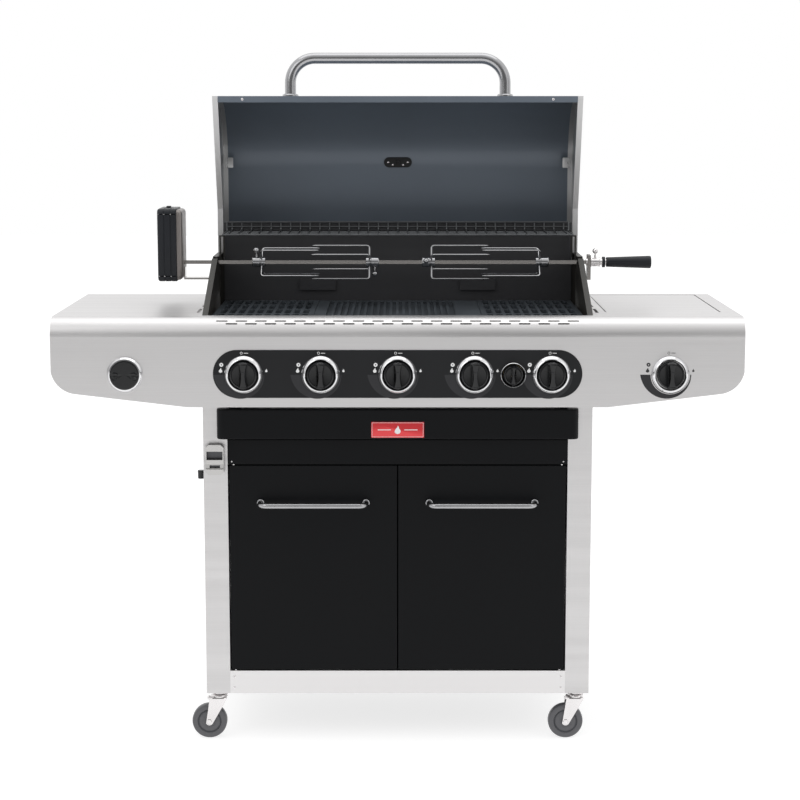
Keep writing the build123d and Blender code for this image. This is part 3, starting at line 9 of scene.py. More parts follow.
import bmesh
import bpy
import numpy as np
from bpy.props import FloatProperty, FloatVectorProperty, IntProperty, PointerProperty
from bpy.types import Operator, Panel, PropertyGroup
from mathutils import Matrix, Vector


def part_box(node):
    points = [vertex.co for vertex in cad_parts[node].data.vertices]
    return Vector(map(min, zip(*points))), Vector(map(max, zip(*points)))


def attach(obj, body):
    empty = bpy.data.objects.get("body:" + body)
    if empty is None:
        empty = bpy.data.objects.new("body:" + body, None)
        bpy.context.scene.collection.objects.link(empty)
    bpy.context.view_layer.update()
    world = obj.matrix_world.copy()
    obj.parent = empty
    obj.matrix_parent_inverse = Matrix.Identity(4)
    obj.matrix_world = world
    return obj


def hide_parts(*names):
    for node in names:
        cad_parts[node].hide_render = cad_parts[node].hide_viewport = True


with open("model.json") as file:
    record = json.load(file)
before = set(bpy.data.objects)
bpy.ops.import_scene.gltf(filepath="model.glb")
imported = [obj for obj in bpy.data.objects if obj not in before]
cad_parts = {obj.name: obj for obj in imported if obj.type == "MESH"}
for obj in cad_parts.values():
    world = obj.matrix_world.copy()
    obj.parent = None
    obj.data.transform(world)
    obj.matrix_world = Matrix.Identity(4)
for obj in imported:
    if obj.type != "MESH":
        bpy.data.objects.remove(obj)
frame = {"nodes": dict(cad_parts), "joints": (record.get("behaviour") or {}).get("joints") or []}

bl_info = {
    "name": "Gas barbecue grill",
    "version": (1, 0, 0),
    "blender": (4, 5, 0),
    "location": "View3D > Sidebar > Grill",
    "description": "Builds the visible pieces and finishes of a gas barbecue grill",
    "category": "Object",
}

X = np.array((1.0, 0.0, 0.0))
Y = np.array((0.0, 1.0, 0.0))
Z = np.array((0.0, 0.0, 1.0))
FRONT = -Y
FULL_TURN = 2 * np.pi
BURNER_KNOBS = ("knob_1", "knob_2", "knob_3", "knob_4", "knob_5")
CASTERS = (1, 2, 3, 4)
SMOOTH_ANGLE = np.radians(32)


# ---- places read from the frame ----
def low(node):
    """Lowest corner of a node as an array."""
    return np.array(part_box(node)[0])


def high(node):
    """Highest corner of a node as an array."""
    return np.array(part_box(node)[1])


def middle(node):
    """Middle of a node's box."""
    return (low(node) + high(node)) / 2


def joint_point(name):
    """Point on a joint's axis."""
    for joint in frame["joints"]:
        if joint["name"] == name:
            return np.array(joint["pos_m"])
    raise KeyError(name)


PANEL_FACE_Y = float(low("control_panel")[1])
INSERT_FACE_Y = float(low("panel_insert")[1])
HINGE = joint_point("lid_hinge")
SPIT = joint_point("spit_turn")


# ---- shapes: each is (points, faces) ----
def unit(vector):
    """The vector at length one."""
    vector = np.asarray(vector, float)
    return vector / np.linalg.norm(vector)


def grid_faces(rows, cols, wrap_rows):
    """Quads between neighbouring points of a rows by cols grid of closed rings, as point numbers."""
    i, j = np.meshgrid(np.arange(rows if wrap_rows else rows - 1), np.arange(cols), indexing="ij")
    below, beside = (i + 1) % rows, (j + 1) % cols
    quads = np.stack((i * cols + j, i * cols + beside, below * cols + beside, below * cols + j), axis=-1)
    return quads.reshape(-1, 4).tolist()


def skin(rows_of_points, looped=False):
    """Skin over closed rings of points; the first and last ring get a flat face, or join if looped."""
    rows, cols, _ = rows_of_points.shape
    faces = grid_faces(rows, cols, looped)
    if not looped:
        faces.append(list(range(cols)))
        faces.append(list(range((rows - 1) * cols, rows * cols)))
    return rows_of_points.reshape(-1, 3), faces


def joined(shapes):
    """Several shapes as one, each face's numbers moved on past the points before it."""
    points, faces, start = [], [], 0
    for some_points, some_faces in shapes:
        points.append(some_points)
        faces += [[number + start for number in face] for face in some_faces]
        start += len(some_points)
    return np.concatenate(points), faces


def lathe(profile, place, axis, sides, looped=False):
    """Profile of (radius, height) pairs turned about an axis.

    A point is place + height * axis + radius * (cos(turn) * side + sin(turn) * other side).
    """
    axis = unit(axis)
    side = unit(np.cross(axis, Z if abs(axis[2]) < 0.9 else X))
    other = np.cross(axis, side)
    turn = np.linspace(0, FULL_TURN, sides, endpoint=False)
    circle = np.outer(np.cos(turn), side) + np.outer(np.sin(turn), other)
    profile = np.asarray(profile, float)
    along = profile[:, 1, None, None] * axis
    return skin(np.asarray(place) + along + profile[:, 0, None, None] * circle, looped)


def bent_path(corners, radius, steps):
    """Corners joined by straight runs, each inner corner rounded by an arc of that radius.

    The arc's centre lies on the corner's bisector at radius / sin(half angle), and its points turn
    evenly from one tangent point to the other.
    """
    corners = np.asarray(corners, float)
    path = [corners[0]]
    for before, corner, after in zip(corners, corners[1:], corners[2:]):
        back, ahead = unit(before - corner), unit(after - corner)
        half = np.arccos(np.clip(back @ ahead, -1, 1)) / 2
        centre = corner + unit(back + ahead) * radius / np.sin(half)
        start = corner + back * radius / np.tan(half) - centre
        end = corner + ahead * radius / np.tan(half) - centre
        sweep = np.pi - 2 * half
        share = np.linspace(0, 1, steps + 1)[:, None]
        arc = (np.sin((1 - share) * sweep) * start + np.sin(share * sweep) * end) / np.sin(sweep)
        path += list(centre + arc)
    path.append(corners[-1])
    return np.array(path)


def tube(path, radius, normal, sides, radii=None):
    """Round tube along a flat path: rings of radius cos(turn) * side + sin(turn) * normal."""
    path = np.asarray(path, float)
    tangent = np.gradient(path, axis=0)
    tangent /= np.linalg.norm(tangent, axis=1)[:, None]
    normal = unit(normal)
    side = np.cross(tangent, normal)
    side /= np.linalg.norm(side, axis=1)[:, None]
    turn = np.linspace(0, FULL_TURN, sides, endpoint=False)
    size = np.full(len(path), radius) if radii is None else np.asarray(radii)
    ring = np.cos(turn)[None, :, None] * side[:, None, :] + np.sin(turn)[None, :, None] * normal
    return skin(path[:, None, :] + size[:, None, None] * ring)


def rod(start, end, radius, sides=12):
    """Straight round bar with slightly rounded ends."""
    start, end = np.asarray(start, float), np.asarray(end, float)
    length = np.linalg.norm(end - start)
    edge = min(radius * 0.35, length * 0.2)
    profile = ((radius - edge, 0), (radius, edge), (radius, length - edge), (radius - edge, length))
    return lathe(profile, start, end - start, sides)


def ball(centre, radius, sides=20, rows=12):
    """Sphere as rings of radius sin(tilt) at heights cos(tilt)."""
    tilt = np.linspace(0.12, np.pi - 0.12, rows)
    return lathe(np.stack((radius * np.sin(tilt), radius * np.cos(tilt)), axis=-1), centre, Z, sides)


def rounded_rectangle(width, height, radius, steps):
    """Outline of a rectangle with quarter-circle corners, anticlockwise round its middle."""
    arc = np.linspace(0, np.pi / 2, steps + 1)
    outline = []
    for quarter, (sx, sy) in enumerate(((1, 1), (-1, 1), (-1, -1), (1, -1))):
        turn = arc + quarter * np.pi / 2
        corner = np.array((sx * (width / 2 - radius), sy * (height / 2 - radius)))
        outline.append(corner + radius * np.stack((np.cos(turn), np.sin(turn)), axis=-1))
    return np.concatenate(outline)


def shrunk(outline, amount):
    """Outline moved inwards along the mean of its two edge normals at each point."""
    before, after = np.roll(outline, 1, axis=0), np.roll(outline, -1, axis=0)
    along = after - before
    length = np.linalg.norm(along, axis=1)[:, None]
    inward = np.stack((-along[:, 1], along[:, 0]), axis=-1) / np.where(length == 0, 1, length)
    return outline + amount * inward


def block(outline, place, right, up, levels):
    """Outline carried along its normal: each level is (height, inward move), ends closed flat."""
    right, up = unit(right), unit(up)
    normal = np.cross(right, up)
    rings = []
    for height, inward in levels:
        ring = shrunk(outline, inward)
        rings.append(np.asarray(place) + ring[:, :1] * right + ring[:, 1:] * up + height * normal)
    return skin(np.array(rings))


def bevelled(outline, place, right, up, depth, edge):
    """Block of that depth with its front and back edges bevelled."""
    mid = edge * 0.3
    levels = ((0, edge), (mid, mid), (edge, 0), (depth - edge, 0), (depth - mid, mid), (depth, edge))
    return block(outline, place, right, up, levels)


# ---- shader parts ----
def new_group(name, inputs, outputs):
    """Empty shader node group with float or vector sockets; inputs hold their defaults."""
    group = bpy.data.node_groups.new(name, "ShaderNodeTree")
    for socket, kind, default in inputs:
        item = group.interface.new_socket(socket, in_out="INPUT", socket_type=kind)
        item.default_value = default
    for socket, kind in outputs:
        group.interface.new_socket(socket, in_out="OUTPUT", socket_type=kind)
    return group, group.nodes.new("NodeGroupInput"), group.nodes.new("NodeGroupOutput")


def stretched(group, vector, scale):
    """Vector multiplied by its own scale along each axis."""
    node = group.nodes.new("ShaderNodeMapping")
    node.inputs["Scale"].default_value = scale
    group.links.new(vector, node.inputs["Vector"])
    return node.outputs[0]


def noise(group, vector, scale, detail, roughness=0.5):
    """Noise of that detail, with its place and its scale linked in."""
    node = group.nodes.new("ShaderNodeTexNoise")
    node.inputs["Detail"].default_value = detail
    node.inputs["Roughness"].default_value = roughness
    group.links.new(vector, node.inputs["Vector"])
    group.links.new(scale, node.inputs["Scale"])
    return node.outputs[0]


def brushed_grain_group():
    """Long fine scratches: noise stretched along X, with a slower noise that varies the sheen."""
    inputs = (("Vector", "NodeSocketVector", (0, 0, 0)), ("Scale", "NodeSocketFloat", 1.0))
    outputs = (("Height", "NodeSocketFloat"), ("Sheen", "NodeSocketFloat"))
    group, entry, exit_node = new_group("Brushed grain", inputs, outputs)
    place, scale = entry.outputs["Vector"], entry.outputs["Scale"]
    scratches = noise(group, stretched(group, place, (6.0, 900.0, 900.0)), scale, 3.0)
    sheen = noise(group, stretched(group, place, (2.0, 60.0, 60.0)), scale, 2.0)
    group.links.new(scratches, exit_node.inputs["Height"])
    group.links.new(sheen, exit_node.inputs["Sheen"])
    return group


def fine_texture_group():
    """Grain of paint, casting or moulded plastic, and a slower mottle that varies colour and gloss."""
    inputs = (
        ("Vector", "NodeSocketVector", (0, 0, 0)),
        ("Grain scale", "NodeSocketFloat", 400.0),
        ("Mottle scale", "NodeSocketFloat", 9.0),
    )
    outputs = (("Height", "NodeSocketFloat"), ("Mottle", "NodeSocketFloat"))
    group, entry, exit_node = new_group("Fine texture", inputs, outputs)
    place = entry.outputs["Vector"]
    grain = noise(group, place, entry.outputs["Grain scale"], 2.0)
    mottle = noise(group, place, entry.outputs["Mottle scale"], 5.0, roughness=0.6)
    group.links.new(grain, exit_node.inputs["Height"])
    group.links.new(mottle, exit_node.inputs["Mottle"])
    return group


def placed_group(material, place, name, maker):
    """The node group of that name, made at its first use, placed in a material on its coordinates."""
    node = material.node_tree.nodes.new("ShaderNodeGroup")
    node.node_tree = bpy.data.node_groups.get(name) or maker()
    material.node_tree.links.new(place, node.inputs["Vector"])
    return node


def base_material(name, colour, metallic, roughness, coat=0.0, specular=0.5):
    """Material with a Principled shader, its constant sockets set, and object coordinates."""
    material = bpy.data.materials.new(name)
    material.use_nodes = True
    nodes = material.node_tree.nodes
    shader = nodes["Principled BSDF"]
    shader.inputs["Base Color"].default_value = (*colour, 1)
    shader.inputs["Metallic"].default_value = metallic
    shader.inputs["Roughness"].default_value = roughness
    shader.inputs["Coat Weight"].default_value = coat
    shader.inputs["Coat Roughness"].default_value = 0.08
    shader.inputs["Specular IOR Level"].default_value = specular
    material.diffuse_color = (*colour, 1)
    place = nodes.new("ShaderNodeTexCoord")
    return material, shader, place.outputs["Object"]


def ranged(tree, value, start, end, least=0.3, most=0.7):
    """A value stretched from least to most, a noise's usual range, onto start to end."""
    node = tree.nodes.new("ShaderNodeMapRange")
    node.inputs["From Min"].default_value = least
    node.inputs["From Max"].default_value = most
    node.inputs["To Min"].default_value = start
    node.inputs["To Max"].default_value = end
    tree.links.new(value, node.inputs["Value"])
    return node.outputs[0]


def mixed_colour(material, share, first, second):
    """Colour that goes from first to second with share."""
    node = material.node_tree.nodes.new("ShaderNodeMix")
    node.data_type = "RGBA"
    node.inputs["A"].default_value = (*first, 1)
    node.inputs["B"].default_value = (*second, 1)
    material.node_tree.links.new(share, node.inputs["Factor"])
    return node.outputs["Result"]


def varied_colour(material, share, colour, variation):
    """The colour made darker or lighter by up to that variation, with share."""
    darker = [channel * (1 - variation) for channel in colour]
    lighter = [min(1.0, channel * (1 + variation)) for channel in colour]
    return mixed_colour(material, share, darker, lighter)


def add_bump(material, shader, height, strength, distance):
    """Height fed through a Bump node to the shader's normal."""
    node = material.node_tree.nodes.new("ShaderNodeBump")
    node.inputs["Strength"].default_value = strength
    node.inputs["Distance"].default_value = distance
    material.node_tree.links.new(height, node.inputs["Height"])
    material.node_tree.links.new(node.outputs[0], shader.inputs["Normal"])


def brushed_metal(name, colour, roughness, variation, bump):
    """Satin steel with scratches along X and a slow change of sheen."""
    material, shader, place = base_material(name, colour, 1.0, roughness)
    links = material.node_tree.links
    grain = placed_group(material, place, "Brushed grain", brushed_grain_group)
    share = ranged(material.node_tree, grain.outputs["Height"], 0.0, 1.0)
    links.new(varied_colour(material, share, colour, variation), shader.inputs["Base Color"])
    sheen = ranged(material.node_tree, grain.outputs["Sheen"], roughness * 0.85, roughness * 1.15)
    links.new(sheen, shader.inputs["Roughness"])
    add_bump(material, shader, grain.outputs["Height"], bump, 0.0002)
    return material


def textured(name, colour, roughness, grain_scale, bump, depth, variation, mottle_scale,
             metallic=0.0, coat=0.0, specular=0.5):
    """Paint, casting, plastic or plated metal with fine grain and mottled colour."""
    material, shader, place = base_material(name, colour, metallic, roughness, coat, specular)
    links = material.node_tree.links
    fine = placed_group(material, place, "Fine texture", fine_texture_group)
    fine.inputs["Grain scale"].default_value = grain_scale
    fine.inputs["Mottle scale"].default_value = mottle_scale
    share = ranged(material.node_tree, fine.outputs["Mottle"], 0.0, 1.0)
    links.new(varied_colour(material, share, colour, variation), shader.inputs["Base Color"])
    sheen = ranged(material.node_tree, fine.outputs["Mottle"], roughness * 0.88, min(1.0, roughness * 1.12))
    links.new(sheen, shader.inputs["Roughness"])
    if bump > 0:
        add_bump(material, shader, fine.outputs["Height"], bump, depth)
    return material


# ---- the grill's own finishes ----
def finish(name):
    """One of the grill's finishes by name, made at its first use."""
    found = bpy.data.materials.get(name)
    return found or FINISHES[name](name)


def colours():
    """The scene's colour settings."""
    return bpy.context.scene.grill_colours


def opener_steel_painted_shade(name):
    """Satin steel of the bottle opener, with painted shade: near black on the floor of its mouth."""
    light, dark = (0.6, 0.59, 0.58), (0.1, 0.1, 0.105)
    material, shader, place = base_material(name, light, 1.0, 0.36)
    nodes, links = material.node_tree.nodes, material.node_tree.links
    split = nodes.new("ShaderNodeSeparateXYZ")
    links.new(place, split.inputs[0])
    face = float(low("bottle_opener")[1])
    # Painted shade: from 4 mm to 9 mm behind the opener's face the colour goes from steel to near black,
    # where its mouth lies in shadow.
    depth = ranged(material.node_tree, split.outputs["Y"], 0.0, 1.0, face + 0.004, face + 0.009)
    links.new(mixed_colour(material, depth, light, dark), shader.inputs["Base Color"])
    grain = placed_group(material, place, "Brushed grain", brushed_grain_group)
    add_bump(material, shader, grain.outputs["Height"], 0.05, 0.0002)
    return material


def body_steel(name):
    """Light satin stainless steel of the panel, shelves and posts."""
    return brushed_metal(name, tuple(colours().steel), roughness=0.42, variation=0.02, bump=0.02)


def rail_steel(name):
    """Brighter pressed steel of the base rails."""
    return brushed_metal(name, (0.86, 0.83, 0.82), roughness=0.36, variation=0.03, bump=0.04)


def spit_steel(name):
    """Plated spit rod, a little warm and dull."""
    return brushed_metal(name, (0.34, 0.32, 0.3), roughness=0.3, variation=0.08, bump=0.05)


def burner_steel(name):
    """Heat-tinted steel of the burners and flame covers."""
    return brushed_metal(name, (0.4, 0.37, 0.34), roughness=0.36, variation=0.15, bump=0.08)


def powder_black(name):
    """Black powder coat of doors, fascia, drip-tray front and cabinet."""
    return textured(name, tuple(colours().black), roughness=0.42, grain_scale=900.0, bump=0.12,
                    depth=0.0002, variation=0.1, mottle_scale=4.0, specular=0.14)


def insert_black(name):
    """Dull printed panel round the knobs."""
    return textured(name, tuple(colours().insert), roughness=0.5, grain_scale=1200.0, bump=0.06,
                    depth=0.0001, variation=0.06, mottle_scale=5.0, specular=0.2)


def lid_enamel(name):
    """Blue-grey enamel inside and outside the lid."""
    return textured(name, tuple(colours().lid), metallic=0.35, roughness=0.42, grain_scale=700.0,
                    bump=0.05, depth=0.0002, variation=0.05, mottle_scale=3.0, coat=0.2)


def firebox_enamel(name):
    """Glossy dark enamel of the cooking space."""
    return textured(name, (0.008, 0.0095, 0.011), roughness=0.2, grain_scale=500.0, bump=0.05,
                    depth=0.0003, variation=0.25, mottle_scale=7.0, specular=0.4)


def rim_enamel(name):
    """Warmer grey enamel of the firebox side walls."""
    return textured(name, (0.04, 0.038, 0.034), roughness=0.38, grain_scale=500.0, bump=0.06,
                    depth=0.0003, variation=0.15, mottle_scale=7.0, specular=0.3)


def cast_enamel(name):
    """Satin enamel over rough cast iron."""
    return textured(name, (0.055, 0.064, 0.074), roughness=0.4, grain_scale=260.0, bump=0.35,
                    depth=0.0006, variation=0.3, mottle_scale=14.0)


def chrome_trim(name):
    """Bright plated trim."""
    return textured(name, (0.78, 0.78, 0.79), metallic=1.0, roughness=0.12, grain_scale=300.0, bump=0.02,
                    depth=0.0001, variation=0.04, mottle_scale=12.0)


def polished_bar(name):
    """Polished stainless tube of the handles."""
    return textured(name, (0.4, 0.4, 0.41), metallic=1.0, roughness=0.2, grain_scale=600.0, bump=0.03,
                    depth=0.0001, variation=0.05, mottle_scale=20.0)


def bright_zinc(name):
    """Bright zinc plate of the casters and fittings."""
    return textured(name, (0.8, 0.78, 0.78), metallic=1.0, roughness=0.22, grain_scale=350.0, bump=0.04,
                    depth=0.0001, variation=0.06, mottle_scale=25.0)


def rack_plate(name):
    """Dark plated wire of the warming rack."""
    return textured(name, (0.11, 0.115, 0.12), metallic=0.6, roughness=0.34, grain_scale=400.0, bump=0.05,
                    depth=0.0001, variation=0.15, mottle_scale=30.0, specular=0.3)


def cap_silver(name):
    """Cast aluminium lid ends."""
    return textured(name, (0.42, 0.42, 0.44), metallic=0.9, roughness=0.36, grain_scale=500.0, bump=0.08,
                    depth=0.0002, variation=0.04, mottle_scale=10.0)


def knob_plastic(name):
    """Smooth black knob plastic with a faint gloss."""
    return textured(name, (0.008, 0.0085, 0.0095), roughness=0.24, grain_scale=1500.0, bump=0.04,
                    depth=0.0001, variation=0.15, mottle_scale=30.0, specular=0.4)


def dull_plastic(name):
    """Fine-grained black plastic of the motor and grip."""
    return textured(name, (0.014, 0.016, 0.02), roughness=0.38, grain_scale=1600.0, bump=0.12,
                    depth=0.0001, variation=0.1, mottle_scale=20.0, specular=0.3)


def caster_grey(name):
    """Grey wheel tread."""
    return textured(name, (0.085, 0.09, 0.1), roughness=0.48, grain_scale=900.0, bump=0.12, depth=0.0002,
                    variation=0.12, mottle_scale=25.0)


def caster_hub(name):
    """Darker ring pressed into the wheel's face."""
    return textured(name, (0.045, 0.048, 0.055), roughness=0.5, grain_scale=900.0, bump=0.1, depth=0.0002,
                    variation=0.12, mottle_scale=25.0)


def badge_red(name):
    """Red enamel of the plain badge."""
    return textured(name, tuple(colours().badge), roughness=0.35, grain_scale=800.0, bump=0.03,
                    depth=0.0001, variation=0.04, mottle_scale=20.0, specular=0.2)


def mark_white(name):
    """White printed marks."""
    return textured(name, (0.8, 0.8, 0.8), roughness=0.5, grain_scale=900.0, bump=0.0, depth=0.0001,
                    variation=0.03, mottle_scale=30.0)


def mark_grey(name):
    """Grey printed marks."""
    return textured(name, (0.034, 0.034, 0.037), roughness=0.5, grain_scale=900.0, bump=0.0, depth=0.0001,
                    variation=0.05, mottle_scale=30.0, specular=0.2)


def mark_dark(name):
    """Dark marks printed on the steel shelf."""
    return textured(name, (0.02, 0.02, 0.022), roughness=0.5, grain_scale=900.0, bump=0.0, depth=0.0001,
                    variation=0.03, mottle_scale=30.0)


def motor_silver(name):
    """Pearly silver paint of the motor's cover."""
    return textured(name, (0.24, 0.22, 0.21), metallic=0.5, roughness=0.35, grain_scale=900.0, bump=0.06,
                    depth=0.0001, variation=0.05, mottle_scale=15.0, specular=0.3)


def gas_brass(name):
    """Brass of the gas fittings."""
    return textured(name, (0.55, 0.4, 0.18), metallic=1.0, roughness=0.32, grain_scale=400.0, bump=0.08,
                    depth=0.0002, variation=0.12, mottle_scale=20.0)


def soft_rubber(name):
    """Black rubber bumpers."""
    return textured(name, (0.015, 0.015, 0.016), roughness=0.7, grain_scale=700.0, bump=0.15,
                    depth=0.0002, variation=0.1, mottle_scale=20.0)


FINISHES = {maker.__name__: maker for maker in (
    body_steel, rail_steel, spit_steel, burner_steel, powder_black, insert_black, lid_enamel,
    firebox_enamel, rim_enamel, cast_enamel, chrome_trim, polished_bar, bright_zinc, rack_plate,
    cap_silver, knob_plastic, dull_plastic, caster_grey, caster_hub, badge_red, mark_white, mark_grey,
    mark_dark, motor_silver, gas_brass, soft_rubber, opener_steel_painted_shade,
)}
NODE_FINISH = {
    "body_steel": ("corner_posts", "control_panel", "left_shelf", "right_shelf", "side_burner_lid"),
    "rail_steel": ("frame_rails",),
    "powder_black": (
        "side_panels", "back_panel", "bottom_shelf", "front_fascia", "left_door", "right_door", "tray_front",
    ),
    "insert_black": ("panel_insert",),
    "firebox_enamel": ("firebox_back", "firebox_tub", "side_burner_bowl"),
    "rim_enamel": ("firebox_sides", "rack_brackets"),
    "cast_enamel": ("cooking_grates", "griddle", "side_burner_head"),
    "lid_enamel": ("lid_shell",),
    "cap_silver": ("lid_end_caps",),
    "gas_brass": ("gas_manifold",),
    "burner_steel": ("burner_tubes", "flame_tamers", "drip_tray"),
    "spit_steel": ("spit_rod", "spit_brackets"),
    "opener_steel_painted_shade": ("bottle_opener",),
    "bright_zinc": ("hinge_pins",),
    "soft_rubber": ("lid_bumpers",),
}


# ---- putting pieces into the scene ----
def add_piece(name, shape, finish_name, body, smooth=True):
    """Mesh object from a shape, with outward faces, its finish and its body."""
    points, faces = shape
    mesh = bpy.data.meshes.new(name)
    mesh.from_pydata(points.tolist(), [], faces)
    work = bmesh.new()
    work.from_mesh(mesh)
    bmesh.ops.recalc_face_normals(work, faces=work.faces)
    work.to_mesh(mesh)
    work.free()
    if smooth:
        mesh.shade_smooth()
        mesh.set_sharp_from_angle(angle=SMOOTH_ANGLE)
    mesh.materials.append(finish(finish_name))
    obj = bpy.data.objects.new(name, mesh)
    bpy.context.scene.collection.objects.link(obj)
    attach(obj, body)
    return obj


class GrillColours(PropertyGroup):
    """Colours a user may change."""

    steel: FloatVectorProperty(name="Steel", description="Panel, shelves and posts", subtype="COLOR",
                               size=3, min=0, max=1, default=(0.66, 0.65, 0.65))
    black: FloatVectorProperty(name="Black coat", description="Doors and cabinet", subtype="COLOR",
                               size=3, min=0, max=1, default=(0.0025, 0.0028, 0.0036))
    insert: FloatVectorProperty(name="Knob panel", description="Panel behind the knobs", subtype="COLOR",
                                size=3, min=0, max=1, default=(0.014, 0.0145, 0.016))
    lid: FloatVectorProperty(name="Lid enamel", description="Inside and outside of the lid", subtype="COLOR",
                             size=3, min=0, max=1, default=(0.15, 0.178, 0.215))
    badge: FloatVectorProperty(name="Badge", description="Enamel of the front badge", subtype="COLOR",
                               size=3, min=0, max=1, default=(0.6, 0.014, 0.018))


class GrillSizes(PropertyGroup):
    """Sizes of the details a user may change."""

    wire: FloatProperty(name="Rack wire", description="Diameter of the warming rack's wire", unit="LENGTH",
                        default=0.004, min=0.002, max=0.006)
    tine: FloatProperty(name="Fork wire", description="Diameter of the spit forks' wire", unit="LENGTH",
                        default=0.0036, min=0.002, max=0.006)
    tube_sides: IntProperty(name="Tube sides", description="Sides of the handle tubes",
                            default=32, min=8, max=64)
    screw: FloatProperty(name="Screw head", description="Diameter of the visible screw heads", unit="LENGTH",
                         default=0.008, min=0.004, max=0.012)


def sizes():
    """The scene's size settings."""
    return bpy.context.scene.grill_sizes


# ---- knobs, bezels and printed marks ----
# Bezels stand this far off their face.
BEZEL_PROUD = 0.009
# Outer radius and bore of the large knobs' bezels.
KNOB_BEZEL, KNOB_BORE = 0.04, 0.0305
# Printed marks stand this far off their face.
MARK_T = 0.0002
RING_STEPS = 24
# Outline of a flame, one unit from its middle to its tip.
FLAME = ((0.0, -1.0), (0.45, -0.85), (0.72, -0.45), (0.62, 0.0), (0.34, 0.3), (0.3, 0.62),
         (0.08, 1.0), (-0.1, 0.55), (-0.42, 0.22), (-0.66, -0.2), (-0.7, -0.55), (-0.42, -0.88))


def grip_outline(half_length, waist, end):
    """Hourglass outline of a knob's bar, anticlockwise.

    Half width is waist + (end - waist) * (position / half length) squared, with round ends.
    """
    t = np.linspace(-1, 1, 15)
    half_width = waist + (end - waist) * t**2
    height = half_length * t
    right = np.stack((half_width, height), axis=-1)
    left = np.stack((-half_width, height), axis=-1)[::-1]
    arc = np.linspace(0.25, np.pi - 0.25, 6)
    top = np.stack((end * np.cos(arc), half_length + 0.18 * half_length * np.sin(arc)), axis=-1)
    return np.concatenate((right, top, left, -top))


def turn_knob_shape(node):
    """Knob: a dished round skirt and an hourglass bar whose crest dips towards its lower end.

    A point of the bar is lowered by 0.18 * depth * (height / depth) squared * its share of the way
    from the knob's top to its bottom.
    """
    x, _, z = middle(node)
    back, tip = float(high(node)[1]), float(low(node)[1])
    radius = float(high(node)[0] - low(node)[0]) / 2
    depth = back - tip
    place = np.array((x, back, z))
    skirt_profile = (
        (radius * 0.9, 0.0), (radius, 0.0012), (radius, 0.0085), (radius - 0.0012, 0.0105),
        (radius - 0.0035, 0.011), (radius - 0.0045, 0.0095), (radius * 0.35, 0.0085),
    )
    skirt = lathe(skirt_profile, place, FRONT, 56)
    outline = grip_outline(radius * 0.86, radius * 0.225, radius * 0.36)
    levels = ((0.004, 0.0), (depth * 0.55, 0.0006), (depth - 0.003, 0.0012), (depth - 0.001, 0.002),
              (depth, 0.0036))
    rings = []
    for height, inward in levels:
        ring = shrunk(outline, inward)
        dip = 0.18 * (height / depth) ** 2 * (0.5 - ring[:, 1] / (2 * radius)) * depth
        rings.append(place + ring[:, :1] * X + ring[:, 1:] * Z + (height - dip)[:, None] * FRONT)
    return joined((skirt, skin(np.array(rings))))


def pointer_shape(node):
    """Short light bar across the upper end of a knob's grip."""
    x, _, z = middle(node)
    tip = float(low(node)[1])
    radius = float(high(node)[0] - low(node)[0]) / 2
    outline = rounded_rectangle(radius * 0.3, 0.0012, 0.0005, 2)
    place = np.array((x, tip + 0.0021, z + radius * 0.28))
    return block(outline, place, X, Z, ((0, 0), (0.0012, 0)))


def bezel_shape(x, z, seat_y, outer, bore):
    """Ring turned from a profile: a flared outer cone, a rounded crest and a step down to the bore."""
    profile = (
        (outer, 0.0), (outer, 0.0018), (outer - 0.0009, 0.003), (outer - 0.004, BEZEL_PROUD * 0.78),
        (outer - 0.0055, BEZEL_PROUD * 0.93), (outer - 0.0068, BEZEL_PROUD),
        (bore + 0.0018, BEZEL_PROUD * 0.97), (bore + 0.0006, BEZEL_PROUD * 0.8),
        (bore, BEZEL_PROUD * 0.5), (bore, 0.0),
    )
    return lathe(profile, (x, seat_y, z), FRONT, 72, looped=True)


def thin_bezel_shape(x, z, seat_y, outer, bore):
    """Narrow rounded ring round the small knob, turned from a profile."""
    profile = (
        (outer, 0), (outer, BEZEL_PROUD * 0.6), (outer - 0.0008, BEZEL_PROUD * 0.9),
        (outer - 0.0018, BEZEL_PROUD), (outer - 0.003, BEZEL_PROUD * 0.9),
        (outer - 0.0036, BEZEL_PROUD * 0.5), (bore, BEZEL_PROUD * 0.3), (bore, 0),
    )
    return lathe(profile, (x, seat_y, z), FRONT, 64, looped=True)


def ring_mark(x, z, face_y, outer, inner):
    """Flat ring between two radii, raised a hair off the face."""
    turn = np.linspace(0.0, FULL_TURN * 0.999, RING_STEPS)
    radii = np.full(RING_STEPS, outer), np.full(RING_STEPS, inner)
    return crescent_mark(x, z, face_y, *radii, turn)


def crescent_mark(x, z, face_y, outer, inner, turn):
    """Flat band between two curves given as radii at each turn, angles from +X towards +Z."""
    direction = np.cos(turn)[:, None] * X + np.sin(turn)[:, None] * Z
    centre = np.array((x, face_y, z))
    rim, hole = centre + outer[:, None] * direction, centre + inner[:, None] * direction
    front = np.stack((rim, hole), axis=1) + MARK_T * FRONT
    back = np.stack((hole, rim), axis=1)
    return skin(np.concatenate((front, back), axis=1))


def flame_mark(x, z, face_y, half):
    """Plain flame of that half height: a teardrop with one lick to the side, carried off the face."""
    outline = np.array(FLAME) * half
    return block(outline, (x, face_y, z), X, Z, ((0, 0), (MARK_T, 0)))


def bar_mark(x, z, face_y, width, height, radius):
    """Flat bar with rounded corners, raised a hair off the face."""
    return block(rounded_rectangle(width, height, radius, 2), (x, face_y, z), X, Z, ((0, 0), (MARK_T, 0)))


